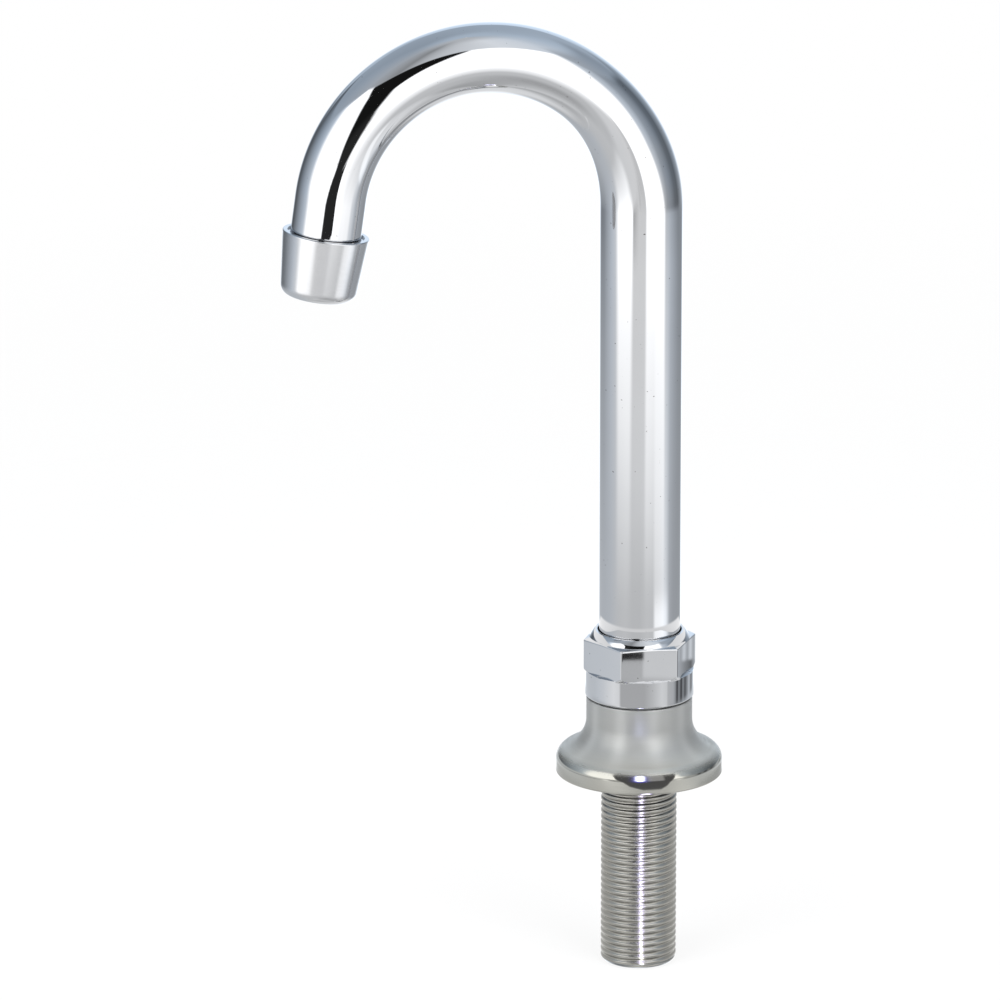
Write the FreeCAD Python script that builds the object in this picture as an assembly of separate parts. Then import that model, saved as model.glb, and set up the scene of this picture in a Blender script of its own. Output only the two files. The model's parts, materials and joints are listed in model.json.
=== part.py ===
import FreeCAD, Part
import math
import os

os.makedirs("parts", exist_ok=True)

# All sizes are millimetres. The origin is the middle of the flange's underside, on the riser's axis.
# +Z is up, and the spout reaches towards -Y.

# Fits and clearances
running_fit = 0.05      # radial, stem in the base's bore
thread_fit = 0.05       # radial, between the crests of two threads that are screwed together
moving_gap = 0.3        # between pieces that turn past each other without guiding
axial_play = 0.1        # the stem's flange between its slide rings
seat_gap = 0.05         # between flat rings that are laid on each other
braze_gap = 0.05        # radial, brazed sleeves

# Spout tube
riser_dia = 22.2
outlet_dia = 19.05
tube_wall = 1.1
bend_radius = 42.3
bend_start_height = 158.45
bend_angle = 172.0
taper_angle = 53.0
outlet_straight = 9.5
taper_sections = 15

# Spout nut
nut_height = 18.8
nut_skirt_height = 7.6
nut_skirt_wall = 2.45
nut_hex_wall = 1.3
nut_hex_top_drop = 2.1
nut_corner_drop = 0.3
nut_crown_land = 0.8
nut_corner_share = 0.25   # how far the corners stand past the skirt before their foot slopes out
nut_roof = 3.0
nut_edge = 0.5
nut_seam = 0.3

# Base
base_height = 21.35
flange_dia = 45.4
rim_height = 7.15
rim_round = 3.6
rim_edge = 0.4
shoulder_slope = 20.0
flare_rise = 6.2
flare_pull = 0.6        # how closely the flare hugs the crossing of the shoulder and the neck
neck_inset = 0.3
base_web = 2.0

# Swivel stem, slide rings and seals
stem_dia = 17.2
stem_flange_lip = 0.9
stem_flange_thickness = 2.2
stem_tube_depth = 14.0
stem_end_room = 0.6
stem_groove_wall = 1.75
slide_ring_thickness = 1.0
o_ring_height = 1.85
o_ring_width = 2.6
o_ring_side_room = 0.3
o_ring_upper_depth = 5.0
o_ring_lower_depth = 14.0

# Shank
shank_dia = 20.7
shank_length = 54.1
shank_wall = 1.85       # under the thread
shank_spigot_step = 0.35
shank_socket_depth = 7.0
shank_seal_thickness = 1.2
shank_end_chamfer = 0.9
thread_pitch = 25.4 / 14
thread_depth = 1.0
thread_crest = 0.4
thread_root = 0.3

# Gasket under the flange
gasket_inner_wall = 2.65
gasket_rim = 2.4
gasket_thickness = 1.5

# Outlet collar
collar_top_wall = 1.375
collar_half_taper = 5.3
collar_foot_round = 2.8
collar_lip_edge = 0.35
collar_mouth_land = 0.4
collar_floor = 1.7

# Threaded ring on the outlet end of the tube
adapter_top_depth = 0.6
adapter_length = 5.4
adapter_wall = 0.65
adapter_seat = 0.9
adapter_seat_lip = 1.6

# Insert in the collar
insert_pocket_step = 0.4
insert_wall = 0.95
insert_flange_lip = 1.2
insert_flange_thickness = 1.2
insert_ledge = 0.8
insert_ledge_thickness = 1.2
insert_gasket_thickness = 1.4
insert_gasket_width = 2.7
strainer_thickness = 0.5
strainer_hole_dia = 1.1
strainer_pitch = 1.9
flow_disc_thickness = 1.2
flow_hole_dia = 1.2
outer_jet_count = 16
inner_jet_count = 8
outer_jet_share = 0.78   # radius of the outer ring of jets, as a share of the disc's
inner_jet_share = 0.45
mixing_ring_height = 1.7
stack_ring_wall = 0.8
screen_thickness = 0.3
screen_hole = 1.0
screen_pitch = 1.5
spacer_height = 1.0
ring_side_gap = 0.1

# Radii and heights that follow from the sizes above
riser_r = riser_dia / 2
outlet_r = outlet_dia / 2
stem_r = stem_dia / 2
stem_flange_r = riser_r + stem_flange_lip
nut_bore_r = stem_flange_r + moving_gap
nut_hole_r = riser_r + moving_gap
nut_skirt_r = nut_bore_r + nut_skirt_wall
nut_flat_r = nut_bore_r + nut_hex_wall
nut_corner_r = nut_flat_r / math.cos(math.pi / 6)
neck_r = nut_skirt_r - neck_inset
spigot_r = nut_bore_r - thread_fit
base_bore_r = stem_r + running_fit
flange_r = flange_dia / 2
shank_r = shank_dia / 2
shank_bore_r = shank_r - thread_depth - shank_wall
shank_spigot_r = shank_r - shank_spigot_step
socket_r = shank_spigot_r + thread_fit
gasket_hole_r = shank_r + gasket_inner_wall
gasket_seat_r = flange_r - gasket_rim
groove_r = stem_r - o_ring_height
waterway_r = groove_r - stem_groove_wall

nut_foot_z = base_height + nut_seam
nut_top_z = nut_foot_z + nut_height
nut_roof_z = nut_top_z - nut_roof
stem_flange_top_z = nut_roof_z - slide_ring_thickness - axial_play
stem_flange_foot_z = stem_flange_top_z - stem_flange_thickness
spigot_top_z = stem_flange_foot_z - axial_play - slide_ring_thickness
socket_top_z = shank_socket_depth + shank_seal_thickness
base_bore_floor_z = socket_top_z + base_web
stem_foot_z = base_bore_floor_z + stem_end_room

tube_end_depth = adapter_top_depth + adapter_length
adapter_r = outlet_r + braze_gap + adapter_wall
collar_bore_depth = tube_end_depth + adapter_seat
collar_bore_r = adapter_r + thread_fit
collar_top_r = collar_bore_r + collar_top_wall
cup_flange_r = collar_bore_r - insert_pocket_step - moving_gap
cup_r = cup_flange_r - insert_flange_lip
cup_bore_r = cup_r - insert_wall
stack_r = cup_bore_r - ring_side_gap


# Small helpers

def turned(points):
    """Solid of revolution about Z from a closed outline of (radius, height) corners."""
    corners = [FreeCAD.Vector(r, 0, z) for r, z in points]
    face = Part.Face(Part.makePolygon(corners + corners[:1]))
    return face.revolve(FreeCAD.Vector(0, 0, 0), FreeCAD.Vector(0, 0, 1), 360)


def ring(inner_r, outer_r, low_z, high_z):
    """Plain ring about Z."""
    return turned([(inner_r, low_z), (outer_r, low_z), (outer_r, high_z), (inner_r, high_z)])


def rod(radius, low_z, high_z):
    """Plain round bar about Z."""
    return Part.makeCylinder(radius, high_z - low_z, FreeCAD.Vector(0, 0, low_z))


def on_outlet_axis(shape):
    """Moves a piece drawn below the origin to the outlet, where its depth runs out along the spout's end."""
    turn = FreeCAD.Rotation(FreeCAD.Vector(1, 0, 0), bend_angle - 180)
    shape.Placement = FreeCAD.Placement(collar_top_point(), turn)
    return shape


def write(shape, name):
    """Writes one piece and prints its count of solids, its soundness and its volume."""
    shape.exportStep("parts/" + name + ".step")
    print(name, len(shape.Solids), shape.isValid(), round(shape.Volume, 1))


# Spout tube

def bend_point(angle):
    """Point on the bend's centre line, with the angle in degrees from the top of the riser."""
    a = math.radians(angle)
    y = -bend_radius * (1 - math.cos(a))
    return FreeCAD.Vector(0, y, bend_start_height + bend_radius * math.sin(a))


def bend_direction(angle):
    """Direction along the bend's centre line."""
    a = math.radians(angle)
    return FreeCAD.Vector(0, -math.sin(a), math.cos(a))


def collar_top_point():
    """Middle of the collar's top, on the outlet's axis."""
    return bend_point(bend_angle) + bend_direction(bend_angle) * outlet_straight


def bend_circle(radius, angle):
    """Round section of the tube, square to the centre line."""
    circle = Part.Wire(Part.makeCircle(radius))
    turn = FreeCAD.Rotation(FreeCAD.Vector(1, 0, 0), angle)
    circle.Placement = FreeCAD.Placement(bend_point(angle), turn)
    return circle


def tapered_radius(share, inset):
    """Radius along the drawn-down part, which starts and ends without a kink."""
    smooth = share * share * (3 - 2 * share)
    return riser_r + (outlet_r - riser_r) * smooth - inset


def tube_solid(inset, low_z, end_length):
    """Riser, drawn-down bend, even bend and straight end as one solid, thinner by the inset."""
    riser = rod(riser_r - inset, low_z, bend_start_height)
    shares = [i / (taper_sections - 1) for i in range(taper_sections)]
    wires = [bend_circle(tapered_radius(s, inset), s * taper_angle) for s in shares]
    taper = Part.makeLoft(wires, True, False)
    centre = FreeCAD.Vector(0, -bend_radius, bend_start_height)
    section = Part.Face(bend_circle(outlet_r - inset, taper_angle))
    even = section.revolve(centre, FreeCAD.Vector(1, 0, 0), bend_angle - taper_angle)
    end = Part.makeCylinder(outlet_r - inset, end_length, bend_point(bend_angle), bend_direction(bend_angle))
    return riser.fuse([taper, even, end])


def spout_tube():
    """Hollow gooseneck, open at both ends."""
    end_length = outlet_straight + tube_end_depth
    outside = tube_solid(0.0, stem_flange_top_z, end_length)
    inside = tube_solid(tube_wall, stem_flange_top_z - 1, end_length + 1)
    return outside.cut(inside)


# Swivel between the spout and the base

def groove_middle(depth):
    """Height of a seal groove's middle, with its depth below the top of the base's bore."""
    return spigot_top_z - depth


def swivel_stem():
    """Stem with a flange that carries the tube, a sleeve inside the tube and two seal grooves."""
    sleeve_r = riser_r - tube_wall - braze_gap
    body = rod(sleeve_r, stem_flange_top_z, stem_flange_top_z + stem_tube_depth)
    body = body.fuse(rod(stem_flange_r, stem_flange_foot_z, stem_flange_top_z))
    body = body.fuse(rod(stem_r, stem_foot_z, stem_flange_foot_z))
    half = o_ring_width / 2 + o_ring_side_room
    for depth in (o_ring_upper_depth, o_ring_lower_depth):
        middle = groove_middle(depth)
        body = body.cut(ring(groove_r, stem_r + 1, middle - half, middle + half))
    waterway = rod(waterway_r, stem_foot_z - 1, stem_flange_top_z + stem_tube_depth + 1)
    return body.cut(waterway)


def o_ring(depth):
    """Seal ring with the oval section that it has when it is squeezed."""
    middle = FreeCAD.Vector(groove_r + o_ring_height / 2, 0, groove_middle(depth))
    tall = o_ring_width > o_ring_height
    reach = FreeCAD.Vector(0, 0, o_ring_width / 2)
    side = FreeCAD.Vector(o_ring_height / 2, 0, 0)
    major = middle + (reach if tall else side)
    minor = middle + (side if tall else reach)
    section = Part.Face(Part.Wire(Part.Ellipse(major, minor, middle).toShape()))
    return section.revolve(FreeCAD.Vector(0, 0, 0), FreeCAD.Vector(0, 0, 1), 360)


def upper_thrust_washer():
    """Slide ring between the stem's flange and the nut's roof."""
    outer_r = nut_bore_r - seat_gap
    return ring(nut_hole_r, outer_r, nut_roof_z - slide_ring_thickness, nut_roof_z)


def lower_thrust_washer():
    """Slide ring between the stem's flange and the top of the base."""
    outer_r = nut_bore_r - seat_gap
    return ring(stem_r + moving_gap, outer_r, spigot_top_z, spigot_top_z + slide_ring_thickness)


# Spout nut

def spout_nut():
    """Hexagon nut with a conical crown and a round skirt, screwed on the base."""
    hex_top_z = nut_top_z - nut_hex_top_drop
    skirt_top_z = nut_foot_z + nut_skirt_height
    corners = []
    for i in range(6):
        a = math.radians(60 * i + 30)
        corners.append(FreeCAD.Vector(nut_corner_r * math.cos(a), nut_corner_r * math.sin(a), skirt_top_z))
    hexagon = Part.Face(Part.makePolygon(corners + corners[:1]))
    block = hexagon.extrude(FreeCAD.Vector(0, 0, nut_top_z - skirt_top_z))
    corner_z = hex_top_z - nut_corner_drop
    far_r = nut_corner_r + 1
    far_z = hex_top_z - nut_corner_drop * (far_r - nut_flat_r) / (nut_corner_r - nut_flat_r)
    lower_r = nut_skirt_r + (nut_corner_r - nut_skirt_r) * nut_corner_share
    crown = turned([
        (0, skirt_top_z),
        (lower_r, skirt_top_z),
        (far_r, min(skirt_top_z + far_r - lower_r, corner_z)),
        (far_r, far_z),
        (nut_flat_r, hex_top_z),
        (nut_hole_r + nut_crown_land, nut_top_z),
        (0, nut_top_z),
    ])
    skirt = turned([
        (0, nut_foot_z),
        (nut_skirt_r - nut_edge, nut_foot_z),
        (nut_skirt_r, nut_foot_z + nut_edge),
        (nut_skirt_r, skirt_top_z),
        (0, skirt_top_z),
    ])
    body = block.common(crown).fuse(skirt)
    body = body.cut(rod(nut_bore_r, nut_foot_z - 1, nut_roof_z))
    return body.cut(rod(nut_hole_r, nut_roof_z - 1, nut_top_z + 1))


# Base

def base_outline():
    """Outer edges of the base from the foot of the rim to the top of the neck."""
    slope = math.radians(shoulder_slope)
    arc_middle = FreeCAD.Vector(flange_r - rim_round, 0, rim_height - rim_round)
    half = (math.pi / 2 - slope) / 2

    def on_arc(angle):
        return arc_middle + FreeCAD.Vector(math.cos(angle), 0, math.sin(angle)) * rim_round

    foot_in = FreeCAD.Vector(flange_r - rim_edge, 0, 0)
    foot_out = FreeCAD.Vector(flange_r, 0, rim_edge)
    start, middle, end = on_arc(0), on_arc(half), on_arc(2 * half)
    crossing = FreeCAD.Vector(neck_r, 0, end.z + (end.x - neck_r) * math.tan(slope))
    flare_top = crossing + FreeCAD.Vector(0, 0, flare_rise)
    flare = Part.BezierCurve()
    flare.setPoles([end, end + (crossing - end) * flare_pull,
                    flare_top + (crossing - flare_top) * flare_pull, flare_top])
    neck_top = FreeCAD.Vector(neck_r, 0, base_height)
    return [
        Part.makeLine(foot_in, foot_out),
        Part.makeLine(foot_out, start),
        Part.Arc(start, middle, end).toShape(),
        flare.toShape(),
        Part.makeLine(flare_top, neck_top),
    ]


def base_body():
    """Bell-shaped base with a threaded spigot on top, a stem bore and a socket for the shank."""
    edges = base_outline()
    corners = [
        FreeCAD.Vector(neck_r, 0, base_height),
        FreeCAD.Vector(spigot_r, 0, base_height),
        FreeCAD.Vector(spigot_r, 0, spigot_top_z),
        FreeCAD.Vector(0, 0, spigot_top_z),
        FreeCAD.Vector(0, 0, 0),
        FreeCAD.Vector(flange_r - rim_edge, 0, 0),
    ]
    for first, second in zip(corners, corners[1:]):
        edges.append(Part.makeLine(first, second))
    face = Part.Face(Part.Wire(edges))
    body = face.revolve(FreeCAD.Vector(0, 0, 0), FreeCAD.Vector(0, 0, 1), 360)
    body = body.cut(rod(base_bore_r, base_bore_floor_z, spigot_top_z + 1))
    body = body.cut(rod(waterway_r, socket_top_z - 1, base_bore_floor_z + 1))
    body = body.cut(rod(socket_r, -1, socket_top_z))
    recess = ring(gasket_hole_r, gasket_seat_r, -1, gasket_thickness)
    return body.cut(recess)


def deck_gasket():
    """Flat ring let into the flange's underside."""
    return ring(gasket_hole_r + ring_side_gap, gasket_seat_r - ring_side_gap, 0, gasket_thickness)


def shank_seal():
    """Flat ring squeezed between the shank's top and the socket."""
    return ring(shank_bore_r, shank_spigot_r - ring_side_gap, shank_socket_depth, socket_top_z)


def shank_nipple():
    """Threaded inlet shank, with its thread drawn as closed grooves at the true pitch."""
    flank = (thread_pitch - thread_crest - thread_root) / 2
    root_r = shank_r - thread_depth
    outline = [(shank_bore_r, -shank_length), (shank_r - shank_end_chamfer, -shank_length)]
    z = -shank_length + shank_end_chamfer
    outline.append((shank_r, z))
    while z + thread_pitch < -thread_crest / 2:
        outline.append((shank_r, z + thread_crest))
        outline.append((root_r, z + thread_crest + flank))
        outline.append((root_r, z + thread_crest + flank + thread_root))
        outline.append((shank_r, z + thread_pitch))
        z += thread_pitch
    outline.append((shank_r, 0))
    outline.append((shank_spigot_r, 0))
    outline.append((shank_spigot_r, shank_socket_depth))
    outline.append((shank_bore_r, shank_socket_depth))
    return turned(outline)


# Outlet, drawn with its depth below the middle of the collar's top

def outlet_adapter():
    """Threaded ring on the end of the tube, with a seat for the gasket."""
    inner_r = outlet_r + braze_gap
    foot = tube_end_depth + adapter_seat
    sleeve = ring(inner_r, adapter_r, -foot, -adapter_top_depth)
    seat = ring(outlet_r - adapter_seat_lip, adapter_r, -foot, -tube_end_depth)
    return sleeve.fuse(seat)


def insert_levels():
    """Depths of the insert's flat rings, from the gasket down to the foot of the cup."""
    gasket = collar_bore_depth + seat_gap
    strainer = gasket + insert_gasket_thickness + seat_gap
    cup = strainer + strainer_thickness + seat_gap
    disc = cup + insert_flange_thickness / 2
    mixing = disc + flow_disc_thickness + seat_gap
    screen_upper = mixing + mixing_ring_height + seat_gap
    spacer = screen_upper + screen_thickness + seat_gap
    screen_lower = spacer + spacer_height + seat_gap
    ledge = screen_lower + screen_thickness + seat_gap
    foot = ledge + insert_ledge_thickness
    return {
        "gasket": gasket, "strainer": strainer, "cup": cup, "disc": disc, "mixing": mixing,
        "screen_upper": screen_upper, "spacer": spacer, "screen_lower": screen_lower,
        "ledge": ledge, "foot": foot,
    }


def collar_outer_r(depth):
    """Radius of the tapered outside at a depth."""
    return collar_top_r - depth * math.tan(math.radians(collar_half_taper))


def aerator_shell():
    """Tapered collar with a thread bore, a shoulder for the insert and a round foot."""
    levels = insert_levels()
    floor = levels["foot"] + moving_gap
    length = floor + collar_floor
    taper = math.radians(collar_half_taper)
    foot_r = collar_outer_r(length)
    run = collar_foot_round * math.tan((math.pi / 2 - taper) / 2)
    side = FreeCAD.Vector(foot_r + run * math.sin(taper), 0, -length + run * math.cos(taper))
    under = FreeCAD.Vector(foot_r - run, 0, -length)
    round_middle = FreeCAD.Vector(under.x, 0, -length + collar_foot_round)
    bisect = (math.pi / 2 + taper) / 2
    half_way = round_middle + FreeCAD.Vector(math.cos(bisect), 0, -math.sin(bisect)) * collar_foot_round
    lip_out = FreeCAD.Vector(collar_outer_r(collar_lip_edge), 0, -collar_lip_edge)
    lip_in = FreeCAD.Vector(collar_top_r - collar_lip_edge, 0, 0)
    shoulder = levels["cup"] + insert_flange_thickness + seat_gap
    mouth_r = under.x - collar_mouth_land
    inner = [
        FreeCAD.Vector(mouth_r, 0, -length),
        FreeCAD.Vector(mouth_r, 0, -floor),
        FreeCAD.Vector(cup_r + moving_gap, 0, -floor),
        FreeCAD.Vector(cup_r + moving_gap, 0, -shoulder),
        FreeCAD.Vector(cup_flange_r + moving_gap, 0, -shoulder),
        FreeCAD.Vector(cup_flange_r + moving_gap, 0, -collar_bore_depth),
        FreeCAD.Vector(collar_bore_r, 0, -collar_bore_depth),
        FreeCAD.Vector(collar_bore_r, 0, 0),
    ]
    edges = [
        Part.makeLine(lip_in, lip_out),
        Part.makeLine(lip_out, side),
        Part.Arc(side, half_way, under).toShape(),
    ]
    corners = [under] + inner + [lip_in]
    for first, second in zip(corners, corners[1:]):
        edges.append(Part.makeLine(first, second))
    face = Part.Face(Part.Wire(edges))
    return face.revolve(FreeCAD.Vector(0, 0, 0), FreeCAD.Vector(0, 0, 1), 360)


def aerator_gasket():
    """Flat rubber ring under the adapter."""
    top = insert_levels()["gasket"]
    return ring(cup_flange_r - insert_gasket_width, cup_flange_r, -top - insert_gasket_thickness, -top)


def round_holes(limit_r, pitch, hole_r, low_z, high_z):
    """Drills in a close hexagon pattern that stay inside a radius."""
    drills = []
    rows = int(limit_r / (pitch * math.sqrt(3) / 2)) + 1
    columns = int(limit_r / pitch) + 2
    for j in range(-rows, rows + 1):
        for i in range(-columns, columns + 1):
            x = (i + (j % 2) / 2) * pitch
            y = j * pitch * math.sqrt(3) / 2
            if math.hypot(x, y) + hole_r <= limit_r:
                drills.append(Part.makeCylinder(hole_r, high_z - low_z, FreeCAD.Vector(x, y, low_z)))
    return drills


def aerator_strainer():
    """Perforated inlet disc that keeps grit out."""
    top = insert_levels()["strainer"]
    foot = top + strainer_thickness
    disc = rod(cup_flange_r - ring_side_gap, -foot, -top)
    drills = round_holes(cup_bore_r, strainer_pitch, strainer_hole_dia / 2, -foot - 1, -top + 1)
    return disc.cut(Part.makeCompound(drills))


def aerator_cartridge():
    """Cup that holds the disc, the rings and the screens."""
    levels = insert_levels()
    body = ring(cup_bore_r, cup_r, -levels["foot"], -levels["cup"])
    flange = ring(cup_bore_r, cup_flange_r, -levels["cup"] - insert_flange_thickness, -levels["cup"])
    ledge = ring(cup_bore_r - insert_ledge, cup_r, -levels["foot"], -levels["ledge"])
    return body.fuse([flange, ledge])


def aerator_flow_disc():
    """Disc with two rings of jet holes."""
    top = insert_levels()["disc"]
    foot = top + flow_disc_thickness
    disc = rod(stack_r, -foot, -top)
    drills = []
    for count, share in ((outer_jet_count, outer_jet_share), (inner_jet_count, inner_jet_share)):
        for i in range(count):
            a = 2 * math.pi * i / count
            spot = FreeCAD.Vector(stack_r * share * math.cos(a), stack_r * share * math.sin(a), -foot - 1)
            drills.append(Part.makeCylinder(flow_hole_dia / 2, flow_disc_thickness + 2, spot))
    return disc.cut(Part.makeCompound(drills))


def stack_ring(top, height):
    """Plain ring in the cup."""
    return ring(stack_r - stack_ring_wall, stack_r, -top - height, -top)


def screen(top):
    """Outlet screen: a thin disc with a square grid of openings."""
    foot = top + screen_thickness
    disc = rod(stack_r, -foot, -top)
    limit = cup_bore_r - insert_ledge
    reach = int(limit / screen_pitch) + 1
    cutters = []
    for i in range(-reach, reach + 1):
        for j in range(-reach, reach + 1):
            x = i * screen_pitch
            y = j * screen_pitch
            if math.hypot(abs(x) + screen_hole / 2, abs(y) + screen_hole / 2) <= limit:
                corner = FreeCAD.Vector(x - screen_hole / 2, y - screen_hole / 2, -foot - 1)
                cutters.append(Part.makeBox(screen_hole, screen_hole, screen_thickness + 2, corner))
    return disc.cut(Part.makeCompound(cutters))


levels = insert_levels()

write(base_body(), "base_body")
write(shank_nipple(), "shank_nipple")
write(shank_seal(), "shank_seal")
write(deck_gasket(), "deck_gasket")
write(spout_nut(), "spout_nut")
write(upper_thrust_washer(), "upper_thrust_washer")
write(lower_thrust_washer(), "lower_thrust_washer")
write(swivel_stem(), "swivel_stem")
write(o_ring(o_ring_upper_depth), "upper_o_ring")
write(o_ring(o_ring_lower_depth), "lower_o_ring")
write(spout_tube(), "spout_tube")
write(on_outlet_axis(outlet_adapter()), "outlet_adapter")
write(on_outlet_axis(aerator_shell()), "aerator_shell")
write(on_outlet_axis(aerator_gasket()), "aerator_gasket")
write(on_outlet_axis(aerator_strainer()), "aerator_strainer")
write(on_outlet_axis(aerator_cartridge()), "aerator_cartridge")
write(on_outlet_axis(aerator_flow_disc()), "aerator_flow_disc")
write(on_outlet_axis(stack_ring(levels["mixing"], mixing_ring_height)), "aerator_mixing_ring")
write(on_outlet_axis(screen(levels["screen_upper"])), "aerator_screen_upper")
write(on_outlet_axis(stack_ring(levels["spacer"], spacer_height)), "aerator_spacer")
write(on_outlet_axis(screen(levels["screen_lower"])), "aerator_screen_lower")
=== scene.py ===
"""Dressed model of a deck mount gooseneck faucet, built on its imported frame, in metres."""

from __future__ import annotations

import json
import logging
import math
from dataclasses import dataclass, field
from enum import Enum
from typing import Sequence

import bpy
import numpy as np
from mathutils import Matrix, Vector

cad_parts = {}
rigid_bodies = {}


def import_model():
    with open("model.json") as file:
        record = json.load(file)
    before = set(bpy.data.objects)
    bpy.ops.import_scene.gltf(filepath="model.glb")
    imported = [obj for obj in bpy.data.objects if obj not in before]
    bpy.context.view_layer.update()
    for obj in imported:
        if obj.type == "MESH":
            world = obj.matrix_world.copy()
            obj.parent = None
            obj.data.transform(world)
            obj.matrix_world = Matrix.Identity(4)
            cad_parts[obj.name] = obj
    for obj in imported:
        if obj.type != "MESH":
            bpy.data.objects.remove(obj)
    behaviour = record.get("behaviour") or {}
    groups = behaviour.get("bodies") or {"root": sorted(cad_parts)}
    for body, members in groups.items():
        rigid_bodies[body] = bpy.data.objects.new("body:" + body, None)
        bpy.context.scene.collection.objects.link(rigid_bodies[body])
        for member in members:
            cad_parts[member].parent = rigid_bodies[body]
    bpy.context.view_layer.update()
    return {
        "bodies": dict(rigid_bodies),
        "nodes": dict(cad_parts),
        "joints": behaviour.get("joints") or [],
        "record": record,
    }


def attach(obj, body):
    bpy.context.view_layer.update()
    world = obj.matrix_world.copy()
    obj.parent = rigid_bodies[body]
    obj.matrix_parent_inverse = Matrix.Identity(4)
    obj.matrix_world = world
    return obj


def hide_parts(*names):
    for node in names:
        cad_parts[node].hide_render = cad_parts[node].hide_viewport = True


LOG = logging.getLogger("faucet")
MM = 0.001
UNIT = (0.0, 1.0)
NOISE_SPAN = (0.3, 0.7)
SHARP_ANGLE = math.radians(32)

Triple = tuple[float, float, float]
Colour = Triple
Span = tuple[float, float]
Outline = list[Span]
Array = np.ndarray
Socket = bpy.types.NodeSocket
Finishes = dict[str, bpy.types.Material]


class Grain(Enum):
    """Way a metal surface was worked last, with the stretch of its lines along X, Y and Z."""

    POLISHED = (1.0, 1.0, 1.0)
    TURNED = (0.04, 0.04, 1.0)
    BRUSHED = (1.0, 1.0, 0.02)


class Body(Enum):
    """Bodies of the frame that pieces ride on."""

    BASE = "base"
    SPOUT = "spout"
    INSERT = "aerator_insert"
    COLLAR = "aerator_collar"


# Materials


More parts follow.
